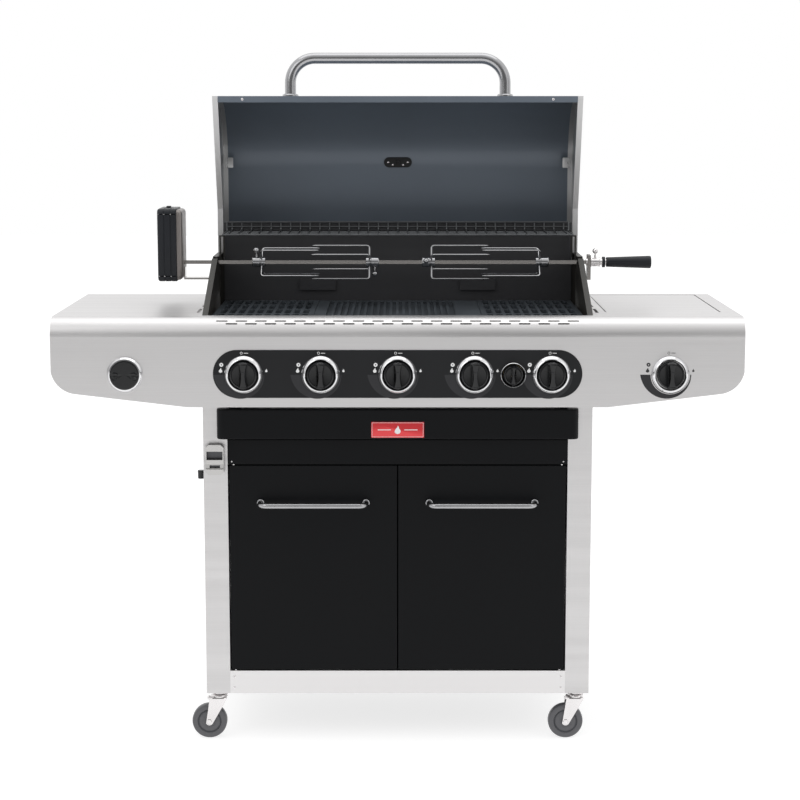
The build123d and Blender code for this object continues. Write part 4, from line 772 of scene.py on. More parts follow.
def knob_marks(node, face_y):
    """Marks round a knob: off ring above, large and small flame at the sides, heat wedge below.

    The wedge runs half a turn from the left; its outer radius is inner + 2.2 mm + 19.5 mm * (the
    share of the turn that is left) to the power 1.6.
    """
    x, _, z = middle(node)
    off_z = z + 0.0455
    off = joined((
        ring_mark(x - 0.004, off_z, face_y, 0.0028, 0.0019),
        bar_mark(x + 0.0055, off_z, face_y, 0.009, 0.0012, 0.0004),
    ))
    spark = ring_mark(x - 0.046, z + 0.021, face_y, 0.0042, 0.0013)
    strong = flame_mark(x - 0.0478, z + 0.0095, face_y, 0.0052)
    weak = flame_mark(x + 0.0478, z + 0.009, face_y, 0.0036)
    turn = np.linspace(np.pi, FULL_TURN, 40)
    share = (turn - np.pi) / np.pi
    inner = np.full(len(turn), 0.0415)
    outer = inner + 0.0195 * (1 - share) ** 1.6 + 0.0022
    wedge = crescent_mark(x, z, face_y, outer, inner, turn)
    return joined((off, spark, strong, weak)), wedge


def make_knobs():
    """Seven knobs, their bezels, pointers and printed marks, and the battery cap."""
    for node in BURNER_KNOBS + ("small_knob", "side_knob"):
        knob = add_piece(f"{node}_turned", turn_knob_shape(node), "knob_plastic", node)
        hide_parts(node)
        add_piece(f"{node}_pointer", pointer_shape(node), "mark_grey", node)
    rings = [bezel_shape(*knob_place(n), INSERT_FACE_Y, KNOB_BEZEL, KNOB_BORE) for n in BURNER_KNOBS]
    rings.append(bezel_shape(*knob_place("side_knob"), PANEL_FACE_Y, KNOB_BEZEL, KNOB_BORE))
    rings.append(bezel_shape(*knob_place("battery_cap"), PANEL_FACE_Y, 0.038, 0.0315))
    rings.append(thin_bezel_shape(*knob_place("small_knob"), INSERT_FACE_Y, 0.027, 0.0215))
    x, z = knob_place("battery_cap")
    holder = ((0.0162, -0.06), (0.0162, -0.002), (0.0325, -0.002), (0.0325, 0.003), (0.0122, 0.003),
              (0.0122, -0.055), (0.002, -0.055), (0.002, -0.06))
    rings.append(lathe(holder, (x, PANEL_FACE_Y, z), FRONT, 40))
    bezels = add_piece("bezel_rings", joined(rings), "chrome_trim", "root")
    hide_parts("knob_bezels")
    make_marks()
    make_battery_cap()


def knob_place(node):
    """X and height of a knob's axis."""
    x, _, z = middle(node)
    return float(x), float(z)


def make_marks():
    """Printed marks on the panel insert and on the right shelf."""
    light, wedges = [], []
    for node in BURNER_KNOBS:
        marks, wedge = knob_marks(node, INSERT_FACE_Y)
        light.append(marks)
        wedges.append(wedge)
    add_piece("panel_marks", joined(light), "mark_white", "root", smooth=False)
    add_piece("heat_wedges", joined(wedges), "mark_grey", "root", smooth=False)
    marks, wedge = knob_marks("side_knob", PANEL_FACE_Y)
    add_piece("shelf_marks", marks, "mark_dark", "root", smooth=False)
    add_piece("shelf_heat_wedge", wedge, "mark_grey", "root", smooth=False)


def make_battery_cap():
    """Screw cap of the battery holder: a flat disc with a finger recess at each side.

    A recess is 4.2 mm * (1.25 - across squared - along squared, kept from 0 to 1) to the power 0.6
    deep, where across and along are the distances from its middle in half widths and half heights.
    """
    x, z = knob_place("battery_cap")
    tip = float(low("battery_cap")[1])
    radius = float(high("battery_cap")[0] - low("battery_cap")[0]) / 2
    turn = np.linspace(0, FULL_TURN, 96, endpoint=False)
    share = np.array((1.0, 1.0, 0.985, 0.95, 0.88, 0.8, 0.72, 0.64, 0.56, 0.48, 0.4, 0.3, 0.15, 0.01))
    height = np.array((-0.0078, -0.0012, -0.0003, 0, 0, 0, 0, 0, 0, 0, 0, 0, 0, 0))
    flat_x = radius * np.outer(share, np.cos(turn))
    flat_z = radius * np.outer(share, np.sin(turn))
    across = (np.abs(flat_x) - 0.0195) / 0.0072
    along = (flat_z + 0.001) / 0.0062
    pit = 0.0042 * np.clip(1.25 - across**2 - along**2, 0, 1) ** 0.6
    front = height[:, None] - np.where(share[:, None] < 0.97, pit, 0)
    points = np.stack((x + flat_x, tip - front, z + flat_z), axis=-1)
    disc = skin(points)
    plug = rod((x, tip + 0.008, z), (x, float(high("battery_cap")[1]), z), 0.0118, 24)
    cap = add_piece("battery_cap_disc", joined((disc, plug)), "knob_plastic", "battery_cap")
    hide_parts("battery_cap")


# ---- handles ----
def make_handles():
    """Lid grip and two door bars: tubes along bent paths, with collars turned at their feet."""
    sides = sizes().tube_sides
    lo, hi = low("lid_handle"), high("lid_handle")
    radius, collar = 0.0125, 0.018
    top = hi[2] - radius
    foot_z = lo[2] + collar * 0.0662
    # The grip's legs lean back 3.8 degrees from upright and stand this far each side of the middle.
    lean = unit((0.0, 0.0663, 0.9978))
    half = 0.2425
    foot = np.array((0.0, lo[1] + collar, foot_z))
    reach = (top - foot_z) / lean[2]
    left, right = foot - half * X, foot + half * X
    corners = (left, left + reach * lean, right + reach * lean, right)
    path = bent_path(corners, 0.055, 14)
    shapes = [tube(path, radius, np.cross(X, lean), sides)]
    collar_profile = (
        (collar - 0.001, 0), (collar, 0.001), (collar, 0.006), (collar - 0.0012, 0.0078),
        (radius + 0.0018, 0.009), (radius + 0.0002, 0.0092),
    )
    for side in (-1, 1):
        shapes.append(lathe(collar_profile, foot + side * half * X, lean, sides))
    grip = add_piece("lid_grip", joined(shapes), "polished_bar", "lid")
    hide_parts("lid_handle")
    for door in ("left_door", "right_door"):
        node = f"{door}_handle"
        lo, hi = low(node), high(node)
        bar = (hi[2] - lo[2]) / 2
        z = (hi[2] + lo[2]) / 2
        left, right, out = lo[0] + bar, hi[0] - bar, lo[1] + bar
        corners = ((left, hi[1], z), (left, out, z), (right, out, z), (right, hi[1], z))
        shapes = [tube(bent_path(corners, 0.016, 10), bar, Z, 20)]
        for x in (left, right):
            washer = ((bar + 0.0015, 0), (bar + 0.0015, 0.0012), (bar + 0.0004, 0.002))
            shapes.append(lathe(washer, (x, hi[1], z), FRONT, 24))
        bar_piece = add_piece(f"{door}_bar", joined(shapes), "polished_bar", door)
        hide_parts(node)


# ---- badge ----
def make_badge():
    """Red badge with a thin raised border and a plain flame between two lines."""
    lo, hi = low("badge"), high("badge")
    centre = np.array(((lo[0] + hi[0]) / 2, hi[1], (lo[2] + hi[2]) / 2))
    width, height, depth = hi[0] - lo[0], hi[2] - lo[2], hi[1] - lo[1]
    plate = bevelled(rounded_rectangle(width, height, 0.0015, 4), centre, X, Z, depth - 0.0003, 0.0004)
    piece = add_piece("badge_plate", plate, "badge_red", "drip_drawer")
    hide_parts("badge")
    face = float(lo[1]) + 0.0003
    outer = rounded_rectangle(width - 0.003, height - 0.003, 0.001, 4)
    ring = np.stack((outer, shrunk(outer, 0.0006)), axis=0)
    front = centre + ring[..., :1] * X + ring[..., 1:] * Z
    front[..., 1] = face - MARK_T
    back = front[::-1].copy()
    back[..., 1] = face
    border = skin(np.concatenate((front, back)), looped=True)
    lines = [bar_mark(side * 0.028, centre[2], face, 0.028, 0.0016, 0.0006) for side in (-1, 1)]
    marks = joined([border, flame_mark(0.0, centre[2], face, 0.009)] + lines)
    add_piece("badge_marks", marks, "mark_white", "drip_drawer", smooth=False)


# ---- rotisserie ----
# Each fork: its X, the way its tines point, its turn and its screw's turn, in degrees.
FORKS = ((-0.302, 1, 0.0, 90.0), (-0.063, -1, 17.0, -90.0), (0.075, 1, 17.0, 10.0), (0.314, -1, 0.0, 180.0))
# Distance of a tine from the spit's axis along Y and along Z at a turn of 0, and its length.
TINE_AT = 0.0285
TINE_LENGTH = 0.127


def thumb_screw(place, out, length):
    """Threaded stalk with a turned neck and a ball head."""
    profile = ((0.0024, 0), (0.0024, length * 0.45), (0.0017, length * 0.5), (0.0017, length * 0.72),
               (0.003, length * 0.8))
    stalk = lathe(profile, place, out, 16)
    return joined((stalk, ball(np.asarray(place) + unit(out) * (length + 0.0035), 0.0064)))


def fork_shape(x, points, turn, screw):
    """Fork: a grooved hub, and two wires bent twice and crossing on it, which make four tines.

    A tine stands TINE_AT * root 2 from the spit's axis, and its end narrows to 0.35 of the wire.
    """
    centre = np.array((x, SPIT[1], SPIT[2]))
    away = -points * X
    wire = sizes().tine / 2
    shapes = []
    for arm in (45.0, 135.0):
        angle = np.radians(turn + arm)
        across = np.array((0.0, -np.sin(angle), np.cos(angle)))
        reach = TINE_AT * np.sqrt(2)
        corners = (centre - reach * across + points * TINE_LENGTH * X, centre - reach * across,
                   centre + reach * across, centre + reach * across + points * TINE_LENGTH * X)
        path = bent_path(corners, 0.006, 5)
        radii = np.full(len(path), wire)
        radii[[0, -1]] = wire * 0.35
        path = np.concatenate((path[:1], path[:1] + (path[1:2] - path[:1]) * 0.06, path[1:-1],
                               path[-1:] + (path[-2:-1] - path[-1:]) * 0.06, path[-1:]))
        radii = np.concatenate((radii[:1], [wire], radii[1:-1], [wire], radii[-1:]))
        shapes.append(tube(path, wire, np.cross(X, across), 10, radii))
    hub = ((0.0085, -0.008), (0.0112, -0.0072), (0.0112, 0.001), (0.0095, 0.0022), (0.0095, 0.0034),
           (0.0112, 0.0046), (0.0112, 0.0195), (0.0102, 0.021), (0.0062, 0.021))
    shapes.append(lathe(hub, centre, away, 28))
    out = np.array((0.0, -np.cos(np.radians(screw)), np.sin(np.radians(screw))))
    shapes.append(thumb_screw(centre + away * 0.012 + out * 0.010, out, 0.0125))
    return joined(shapes)


def make_spit():
    """Four forks, the collar with its screw, and the tapered grip."""
    wires = joined([fork_shape(*row) for row in FORKS])
    forks = add_piece("spit_forks_wire", wires, "polished_bar", "spit")
    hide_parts("spit_forks")
    lo, hi = low("spit_handle"), high("spit_handle")
    centre = np.array((0.0, SPIT[1], SPIT[2]))
    start = centre + lo[0] * X
    length = hi[0] - lo[0]
    collar_profile = (
        (0.0062, 0), (0.008, 0.0006), (0.008, 0.0105), (0.0108, 0.0112), (0.0108, 0.0125), (0.0098, 0.0132),
        (0.0098, 0.0292), (0.0108, 0.0298), (0.0108, 0.0308), (0.0075, 0.031), (0.0075, 0.0446),
    )
    collar = lathe(collar_profile, start, X, 32)
    screw = thumb_screw(start + 0.021 * X + 0.0095 * Z, Z, 0.0115)
    fittings = add_piece("spit_collar", joined((collar, screw)), "bright_zinc", "spit")
    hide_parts("spit_handle")
    disc_profile = ((0.0078, 0.036), (0.0115, 0.0364), (0.012, 0.037), (0.012, 0.042), (0.0115, 0.0426),
                    (0.0078, 0.043))
    disc = lathe(disc_profile, start, X, 32)
    t = np.linspace(0, 1, 9)
    body = np.stack((0.01075 + 0.00325 * t, 0.0462 + (length - 0.0502) * t), axis=-1)
    end = ((0.0137, length - 0.002), (0.0126, length - 0.0006), (0.0105, length), (0.002, length))
    profile = np.concatenate((((0.0076, 0.045), (0.0102, 0.0453)), body, end))
    add_piece("spit_grip", joined((disc, lathe(profile, start, X, 40))), "dull_plastic", "spit")


def make_motor():
    """Motor: black half with two grooves and a switch, silver cover, hub ring, and two bright strips that
    are painted highlights.
    """
    lo, hi = low("motor_housing"), high("motor_housing")
    y = (lo[1] + hi[1]) / 2
    switch_x, switch_h = -0.507, 0.004
    z0, z1 = lo[2], hi[2] - switch_h
    z = (z0 + z1) / 2
    split = float(hi[0]) - 0.012
    depth, height = hi[1] - lo[1], z1 - z0
    outline = rounded_rectangle(depth, height, 0.010, 6)
    width = split - lo[0]
    groove = 0.0009
    levels = [(0, 0.004), (0.0012, 0.0016), (0.004, 0.0)]
    for share in (0.36, 0.7):
        at = width * share
        levels += [(at - 0.0012, 0.0), (at - 0.0008, groove), (at + 0.0008, groove), (at + 0.0012, 0.0)]
    levels += [(width - 0.0012, 0.0), (width - 0.0006, 0.0008), (width - 0.0002, 0.0008)]
    black = block(outline, (lo[0], y, z), Y, Z, levels)
    button = rounded_rectangle(0.010, 0.012, 0.002, 3)
    switch = bevelled(button, (switch_x, y, z1 - 0.0005), X, Y, switch_h + 0.0004, 0.0008)
    shell = add_piece("motor_shell", joined((black, switch)), "dull_plastic", "root")
    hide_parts("motor_housing")
    inner = rounded_rectangle(depth - 0.006, height - 0.006, 0.009, 6)
    cover_w = hi[0] - split
    cover_levels = ((0.0002, 0.0), (cover_w * 0.55, 0.0005), (cover_w * 0.85, 0.003), (cover_w, 0.008))
    cover = block(inner, (split, y, z), Y, Z, cover_levels)
    add_piece("motor_cover", cover, "motor_silver", "root")
    hub_ring = ((0.0068, 0), (0.0105, 0), (0.0105, 0.0012), (0.0068, 0.0012))
    hub_ring_and_highlight_strips = [lathe(hub_ring, (hi[0] - 0.0013, SPIT[1], SPIT[2]), X, 28, looped=True)]
    # Painted highlights: two thin bright strips on the black face near its top and bottom, where its rounded
    # edges catch the light. The hub ring is a real part.
    for highlight_z in (z0 + 0.012, z1 - 0.012):
        highlight_strip = rounded_rectangle(width - 0.004, 0.0016, 0.0006, 2)
        hub_ring_and_highlight_strips.append(block(highlight_strip, (lo[0] + width / 2, lo[1] + 0.0004, highlight_z), X, Z, ((0, 0), (0.0004, 0))))
    add_piece("motor_hub_ring_and_painted_highlights", joined(hub_ring_and_highlight_strips), "bright_zinc", "root")


# ---- warming rack ----
def make_rack():
    """Welded wire rack: long wires, and cross wires bent up into the rear fence."""
    lo, hi = low("warming_rack"), high("warming_rack")
    wire = sizes().wire / 2
    left, right = lo[0] + wire, hi[0] - wire
    front, back = lo[1] + wire, hi[1] - wire
    floor, top = lo[2] + wire, hi[2] - wire
    shapes = []
    long_wires = [(y, floor - wire * 0.4, wire) for y in (front, front + 0.034, front + 0.072, back - 0.006)]
    long_wires += [(back, top, wire), (back, (floor + top) / 2, wire * 0.8)]
    for y, z, radius in long_wires:
        shapes.append(rod((left, y, z), (right, y, z), radius))
    count = int((right - left) / 0.022)
    for x in np.linspace(left + 0.011, right - 0.011, count):
        path = bent_path(((x, front, floor + wire), (x, back, floor + wire), (x, back, top)), 0.006, 4)
        shapes.append(tube(path, wire * 0.85, X, 8))
    for x in (left, right):
        path = bent_path(((x, front, floor), (x, back, floor), (x, back, top)), 0.006, 4)
        shapes.append(tube(path, wire, X, 10))
    rack = add_piece("rack_wires", joined(shapes), "rack_plate", "root")
    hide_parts("warming_rack")


# ---- casters ----
# Radius of a caster fork's rounded foot, round the axle.
FORK_FOOT = 0.0085


def caster_wheel_shapes(number):
    """Wheel turned about its axle: rounded tread, face groove and hub; the groove ring is separate."""
    node = f"caster_wheel_{number}"
    lo, hi = low(node), high(node)
    centre = (lo + hi) / 2
    radius, width = (hi[2] - lo[2]) / 2, hi[1] - lo[1]
    half = width / 2
    side = [(0.0042, half - 0.001), (0.012, half), (0.0135, half - 0.0012), (0.021, half - 0.0012),
            (0.0225, half - 0.002), (0.0245, half - 0.0022), (0.026, half - 0.0004), (0.0325, half),
            (0.0358, half - 0.0012), (radius - 0.0006, half - 0.003), (radius, half - 0.0052)]
    profile = side + [(r, -h) for r, h in side[::-1]]
    tread = lathe(profile, centre, Y, 64, looped=True)
    ring = ((0.0225, 0), (0.0245, 0), (0.0245, 0.0009), (0.0225, 0.0009))
    rings = [lathe(ring, centre + s * (half - 0.0021) * Y, s * Y, 48, looped=True) for s in (-1, 1)]
    return tread, joined(rings)


def caster_fork_shape(number):
    """Caster fork: turned swivel races, a folded crown, axle with nuts, the stem and two cheeks.

    A cheek is a flat outline that tapers from its shoulders to a foot of FORK_FOOT round the axle.
    """
    post = joint_point(f"caster_{number}_swivel")
    axle = joint_point(f"caster_{number}_roll")
    top = float(low("corner_posts")[2])
    x, y = post[0], post[1]
    lower_race = ((0.005, 0), (0.013, 0.0), (0.0165, 0.0016), (0.0172, 0.0034), (0.0165, 0.0052),
                  (0.0135, 0.0066), (0.005, 0.0066))
    upper_race = ((0.005, 0), (0.0125, 0.0), (0.0158, 0.0014), (0.0165, 0.003), (0.0155, 0.0046),
                  (0.012, 0.006), (0.005, 0.006))
    shapes = [
        lathe(lower_race, (x, y, top - 0.0142), Z, 36),
        lathe(upper_race, (x, y, top - 0.0068), Z, 36),
        rod((x, y, top - 0.012), (x, y, top + 0.03), 0.0049, 16),
    ]
    crown = rounded_rectangle(0.037, 0.029, 0.006, 5)
    shapes.append(bevelled(crown, (x - 0.0025, y, top - 0.0168), X, Y, 0.0032, 0.0008))
    shapes.append(ball((x - 0.022, y - 0.0135, top - 0.013), 0.0042, 14, 8))
    corner = np.radians(np.linspace(205, 335, 9))
    foot_x = axle[0] - x + FORK_FOOT * np.cos(corner)
    foot_z = axle[2] - top + FORK_FOOT * np.sin(corner)
    foot = np.stack((foot_x, foot_z), axis=-1)
    shoulders = ((0.0165, -0.0165), (0.015, -0.0136), (-0.019, -0.0136), (-0.021, -0.0165))
    outline = np.concatenate((foot, shoulders))
    cheek_levels = ((0, 0.0004), (0.0005, 0), (0.002, 0), (0.0025, 0.0004))
    for cheek_y in (y + 0.0145, y - 0.0120):
        shapes.append(block(outline, (x, cheek_y, top), X, Z, cheek_levels))
    shapes.append(rod(axle - 0.0175 * Y, axle + 0.0175 * Y, 0.0039, 20))
    nut = ((0.0034, 0), (0.0058, 0.0), (0.0058, 0.0024), (0.005, 0.0031), (0.0042, 0.0031))
    for side in (-1, 1):
        shapes.append(lathe(nut, axle + side * 0.0146 * Y, side * Y, 6))
    return joined(shapes)


def make_casters():
    """Four swivelling casters."""
    for number in CASTERS:
        body = f"caster_{number}"
        fork = add_piece(f"{body}_fork", caster_fork_shape(number), "bright_zinc", body)
        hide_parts(f"caster_fork_{number}")
        tread, ring = caster_wheel_shapes(number)
        wheel = add_piece(f"caster_{number}_tread", tread, "caster_grey", f"wheel_{number}")
        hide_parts(f"caster_wheel_{number}")
        add_piece(f"caster_{number}_ring", ring, "caster_hub", f"wheel_{number}")


# ---- lid fittings ----
def screw_head(place, out, radius):
    """Pan-head screw with a dished recess."""
    shares = ((0.96, 0), (1.0, 0.12), (0.86, 0.42), (0.5, 0.58), (0.36, 0.56), (0.2, 0.25))
    profile = [(radius * across, radius * up) for across, up in shares]
    return lathe(profile + [(0.0001, radius * 0.22)], place, out, 20)


def make_lid_fittings():
    """Gauge, corner brackets and every screw of the lid."""
    make_lid_screws(make_gauge())


def make_gauge():
    """Gauge with its case, dial, scale, needle and clamp plate; returns the plate's screws."""
    lo, hi = low("lid_gauge"), high("lid_gauge")
    x, z = (lo[0] + hi[0]) / 2, (lo[2] + hi[2]) / 2
    rear = float(hi[1])
    radius = (hi[0] - lo[0]) / 2
    roof = float(high("lid_shell")[1])
    case_profile = (
        (0.010, 0.0), (radius - 0.006, 0.0005), (radius - 0.0005, 0.0035), (radius, rear - roof - 0.003),
        (radius - 0.001, rear - roof), (radius - 0.0035, rear - roof),
        (radius - 0.0045, rear - roof - 0.002),
    )
    case = lathe(case_profile, (x, roof, z), Y, 56)
    bezel = add_piece("gauge_case", case, "chrome_trim", "lid")
    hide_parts("lid_gauge")
    dial_y = rear - 0.0018
    dial = lathe(((radius - 0.0046, -0.001), (radius - 0.0046, 0), (0.0005, 0)), (x, dial_y, z), Y, 48)
    add_piece("gauge_dial", dial, "mark_white", "lid", smooth=False)
    ticks = []
    tick_base, needle_base = np.array((x, dial_y + 0.0004, z)), np.array((x, dial_y + 0.0008, z))
    for angle in np.radians(np.linspace(-225, 45, 13)):
        out = np.array((-np.cos(angle), 0, -np.sin(angle)))
        ticks.append(rod(tick_base + out * (radius - 0.011), tick_base + out * (radius - 0.0065), 0.0004, 6))
    needle = unit((0.6, 0, -0.8))
    ticks.append(rod(needle_base - needle * 0.006, needle_base + needle * 0.019, 0.0006, 6))
    ticks.append(lathe(((0.0026, 0), (0.0026, 0.001), (0.0015, 0.0014)), (x, dial_y, z), Y, 20))
    add_piece("gauge_scale", joined(ticks), "mark_dark", "lid")
    inside = float(lo[1])
    plate_y = roof - 0.0042
    shapes = [bevelled(rounded_rectangle(0.066, 0.024, 0.0119, 10), (x, plate_y, z), X, Z, 0.002, 0.0005),
              rod((x, inside, z), (x, roof, z), 0.004, 20)]
    add_piece("gauge_clamp", joined(shapes), "soft_rubber", "lid")
    screws_at = ((-0.023, 0.0), (0.023, 0.0), (-0.012, -0.006), (0.012, -0.006))
    return [screw_head((x + dx, plate_y - 0.002, z + dz), FRONT, 0.0026) for dx, dz in screws_at]


def make_lid_screws(heads):
    """Screws of the flange and of the corner brackets, joined to the gauge plate's, and the brackets."""
    flange_z = float(high("lid_shell")[2])
    front = float(low("lid_shell")[1])
    for x in (-0.347, 0.347):
        heads.append(screw_head((x, front + 0.0002, flange_z - 0.007), FRONT, sizes().screw / 2 * 0.8))
    cap_x = float(high("lid_end_caps")[0]) - 0.0124
    bracket_z = 1.223
    brackets = []
    for side in (-1, 1):
        place = np.array((side * (cap_x - 0.0008), HINGE[1] + 0.150, bracket_z))
        plate = bevelled(rounded_rectangle(0.026, 0.024, 0.003, 3), place, Y, Z, 0.0012, 0.0003)
        lip_place = place + np.array((-side * 0.0065, 0.0125, 0))
        lip = bevelled(rounded_rectangle(0.014, 0.024, 0.002, 3), lip_place, X, Z, 0.0012, 0.0003)
        brackets += [plate, lip]
        heads.append(screw_head(place - side * 0.0012 * X - 0.004 * Y, -side * X, 0.003))
    add_piece("lid_brackets", joined(brackets), "cap_silver", "lid")
    add_piece("lid_screws", joined(heads), "bright_zinc", "lid")


# ---- screws of the body ----
POST_SCREW_X = 0.351
# Height of each post screw, and its head as a share of the usual one.
POST_SCREWS = ((0.118, 0.6), (0.142, 0.6), (0.612, 0.4))
SIDE_SCREWS_APART = 0.32
SIDE_SCREW_HEIGHTS = (0.2, 0.68)
BACK_SCREWS_X = (-0.33, -0.11, 0.11, 0.33)
BACK_SCREW_HEIGHTS = (0.18, 0.70)


def make_body_screws():
    """Pan-head screws of the posts, side sheets and back sheet, and the tool hook's peg and arm."""
    radius = sizes().screw / 2
    post_face = float(low("corner_posts")[1])
    heads = []
    for side in (-1, 1):
        for z, share in POST_SCREWS:
            heads.append(screw_head((side * POST_SCREW_X, post_face, z), FRONT, radius * share))
    mid_y, half = middle("corner_posts")[1], SIDE_SCREWS_APART / 2
    for side in (-1, 1):
        x = side * float(high("side_panels")[0])
        for y in (mid_y - half, mid_y + half):
            for z in SIDE_SCREW_HEIGHTS:
                heads.append(screw_head((x, y, z), side * X, radius))
    rear = float(high("back_panel")[1])
    for x in BACK_SCREWS_X:
        for z in BACK_SCREW_HEIGHTS:
            heads.append(screw_head((x, rear, z), Y, radius))
    add_piece("body_screws", joined(heads), "bright_zinc", "root")
    lo, hi = low("tool_hook"), high("tool_hook")
    centre = np.array((lo[0] + 0.007, (lo[1] + hi[1]) / 2, lo[2]))
    height = hi[2] - lo[2]
    peg_profile = ((0.0058, 0), (0.0066, 0.0006), (0.0068, height * 0.74), (0.007, height * 0.78),
                   (0.007, height - 0.0008), (0.006, height))
    peg = lathe(peg_profile, centre, Z, 32)
    arm_place = (hi[0] - 0.0045, centre[1], float(hi[2]) - 0.009 - 0.0025)
    arm = bevelled(rounded_rectangle(0.010, 0.013, 0.002, 3), arm_place, Y, Z, 0.0045, 0.0004)
    piece = add_piece("hook_peg", joined((peg, arm)), "knob_plastic", "root")
    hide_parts("tool_hook")


# ---- finishes of the frame's own pieces ----
def dress_frame():
    """Gives each carried-over node its finish."""
    for finish_name, nodes in NODE_FINISH.items():
        for node in nodes:
            mesh = frame["nodes"][node].data
            mesh.materials.clear()
            mesh.materials.append(finish(finish_name))


# ---- stage ----
# The camera's place: sideways, up, and back from the panel's face; its tilt down, and its lens in mm.
CAMERA_X, CAMERA_UP = 0.005, 1.367
CAMERA_BACK = 4.118
CAMERA_TILT = np.radians(8.555)
LENS = 89.5


def soft_light(name, place, aim, size, power):
    """Rectangular area light at a place, turned to face a point."""
    data = bpy.data.lights.new(name, "AREA")
    data.shape = "RECTANGLE"
    data.size, data.size_y = size
    data.energy = power
    light = bpy.data.objects.new(name, data)
    bpy.context.scene.collection.objects.link(light)
    light.location = place
    ahead = Vector(aim) - Vector(place)
    light.rotation_euler = ahead.to_track_quat("-Z", "Y").to_euler()


def studio_world():
    """White studio light, dimmer from the side the grill faces; the camera itself sees plain white."""
    world = bpy.data.worlds.new("studio")
    world.use_nodes = True
    nodes, links = world.node_tree.nodes, world.node_tree.links
    direction = nodes.new("ShaderNodeTexCoord")
    towards = nodes.new("ShaderNodeVectorMath")
    towards.operation = "DOT_PRODUCT"
    towards.inputs[1].default_value = (0.0, 0.75, 0.66)
    links.new(direction.outputs["Generated"], towards.inputs[0])
    level = ranged(world.node_tree, towards.outputs["Value"], 0.2, 1.05, -0.75, 0.35)
    level.node.interpolation_type = "SMOOTHSTEP"
    ray = nodes.new("ShaderNodeLightPath")
    backdrop = nodes.new("ShaderNodeMix")
    backdrop.inputs["B"].default_value = 1.0
    links.new(ray.outputs["Is Camera Ray"], backdrop.inputs["Factor"])
    links.new(level, backdrop.inputs["A"])
    nodes["Background"].inputs["Color"].default_value = (1, 1, 1, 1)
    links.new(backdrop.outputs["Result"], nodes["Background"].inputs["Strength"])
    return world


def make_stage():
    """Pale floor that glows a little, the studio world, three soft lights and the camera."""
    mesh = bpy.data.meshes.new("floor")
    mesh.from_pydata([(-14, -9, 0), (14, -9, 0), (14, 16, 0), (-14, 16, 0)], [], [[0, 1, 2, 3]])
    material, shader, _ = base_material("floor_white", (0.4, 0.4, 0.4), 0.0, 0.6, specular=0.0)
    shader.inputs["Emission Color"].default_value = (1, 1, 1, 1)
    shader.inputs["Emission Strength"].default_value = 0.76
    mesh.materials.append(material)
    floor = bpy.data.objects.new("floor", mesh)
    bpy.context.scene.collection.objects.link(floor)
    bpy.context.scene.world = studio_world()
    soft_light("key_light", (-2.6, -3.4, 3.4), (0, 0, 0.8), (2.4, 2.4), 22)
    soft_light("fill_light", (3.2, -2.6, 2.2), (0, 0, 0.8), (2.0, 2.6), 9)
    soft_light("top_light", (0, 0.4, 4.2), (0, 0, 0.9), (4.0, 2.6), 30)
    camera_data = bpy.data.cameras.new("camera")
    camera_data.lens = LENS
    camera_data.sensor_width = 36
    camera_data.clip_end = 60
    camera = bpy.data.objects.new("camera", camera_data)
    bpy.context.scene.collection.objects.link(camera)
    camera.location = (CAMERA_X, PANEL_FACE_Y - CAMERA_BACK, CAMERA_UP)
    camera.rotation_euler = (np.pi / 2 - CAMERA_TILT, 0, 0)
    bpy.context.scene.camera = camera
    bpy.context.scene.view_settings.view_transform = "Standard"


# ---- operators ----
class GRILL_OT_stage(Operator):
    """Floor, lights and camera"""

    bl_idname = "grill.stage"
    bl_label = "Stage"

    def execute(self, context):
        make_stage()
        return {"FINISHED"}


class GRILL_OT_frame_finishes(Operator):
    """Finishes of the sheet metal, castings and other carried-over pieces"""

    bl_idname = "grill.frame_finishes"
    bl_label = "Frame finishes"

    def execute(self, context):
        dress_frame()
        return {"FINISHED"}


class GRILL_OT_knobs(Operator):
    """Knobs, bezels, printed marks and the battery cap"""

    bl_idname = "grill.knobs"
    bl_label = "Knobs and marks"

    def execute(self, context):
        make_knobs()
        return {"FINISHED"}


class GRILL_OT_handles(Operator):
    """Lid grip and door bars"""

    bl_idname = "grill.handles"
    bl_label = "Handles"

    def execute(self, context):
        make_handles()
        return {"FINISHED"}


class GRILL_OT_badge(Operator):
    """Plain red badge on the drip-tray front"""

    bl_idname = "grill.badge"
    bl_label = "Badge"

    def execute(self, context):
        make_badge()
        return {"FINISHED"}


class GRILL_OT_rotisserie(Operator):
    """Spit forks, collar, grip and motor"""

    bl_idname = "grill.rotisserie"
    bl_label = "Rotisserie"

    def execute(self, context):
        make_spit()
        make_motor()
        return {"FINISHED"}


class GRILL_OT_rack(Operator):
    """Warming rack of welded wire"""

    bl_idname = "grill.rack"
    bl_label = "Warming rack"

    def execute(self, context):
        make_rack()
        return {"FINISHED"}


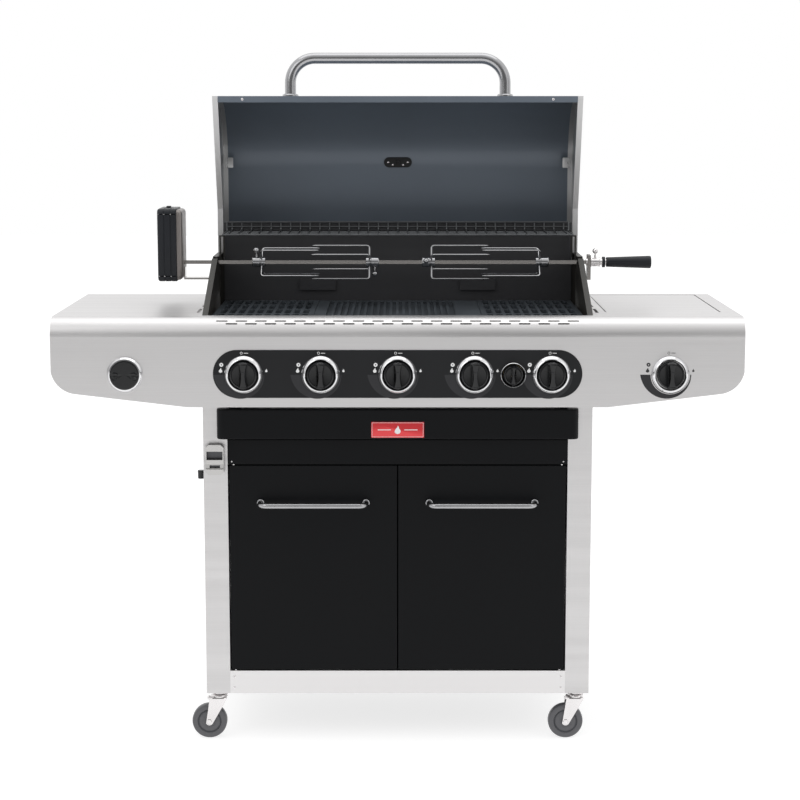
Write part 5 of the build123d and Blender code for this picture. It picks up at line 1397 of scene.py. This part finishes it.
class GRILL_OT_casters(Operator):
    """Swivelling casters"""

    bl_idname = "grill.casters"
    bl_label = "Casters"

    def execute(self, context):
        make_casters()
        return {"FINISHED"}


class GRILL_OT_lid_fittings(Operator):
    """Gauge, brackets and screws of the lid"""

    bl_idname = "grill.lid_fittings"
    bl_label = "Lid fittings"

    def execute(self, context):
        make_lid_fittings()
        return {"FINISHED"}


class GRILL_OT_body_screws(Operator):
    """Screws of the cabinet and the hook peg"""

    bl_idname = "grill.body_screws"
    bl_label = "Body screws and hook"

    def execute(self, context):
        make_body_screws()
        return {"FINISHED"}


OPERATORS = (
    GRILL_OT_stage, GRILL_OT_frame_finishes, GRILL_OT_knobs, GRILL_OT_handles, GRILL_OT_badge,
    GRILL_OT_rotisserie, GRILL_OT_rack, GRILL_OT_casters, GRILL_OT_lid_fittings, GRILL_OT_body_screws,
)


class GRILL_PT_sidebar(Panel):
    """Sidebar panel that lists the grill's pieces"""

    bl_label = "Grill"
    bl_idname = "GRILL_PT_sidebar"
    bl_space_type = "VIEW_3D"
    bl_region_type = "UI"
    bl_category = "Grill"

    def draw(self, context):
        for settings in (context.scene.grill_colours, context.scene.grill_sizes):
            for name in settings.bl_rna.properties.keys():
                if name not in ("rna_type", "name"):
                    self.layout.prop(settings, name)
        for operator in OPERATORS:
            self.layout.operator(operator.bl_idname)


CLASSES = (GrillColours, GrillSizes) + OPERATORS + (GRILL_PT_sidebar,)


def register():
    """Registers the classes and the scene's settings."""
    for cls in CLASSES:
        bpy.utils.register_class(cls)
    bpy.types.Scene.grill_colours = PointerProperty(type=GrillColours)
    bpy.types.Scene.grill_sizes = PointerProperty(type=GrillSizes)


def unregister():
    """Removes what register added."""
    del bpy.types.Scene.grill_sizes
    del bpy.types.Scene.grill_colours
    for cls in reversed(CLASSES):
        bpy.utils.unregister_class(cls)


def main():
    """Builds every piece."""
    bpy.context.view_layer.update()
    register()
    for operator in OPERATORS:
        family, action = operator.bl_idname.split(".")
        getattr(getattr(bpy.ops, family), action)()


if __name__ == "__main__":
    main()
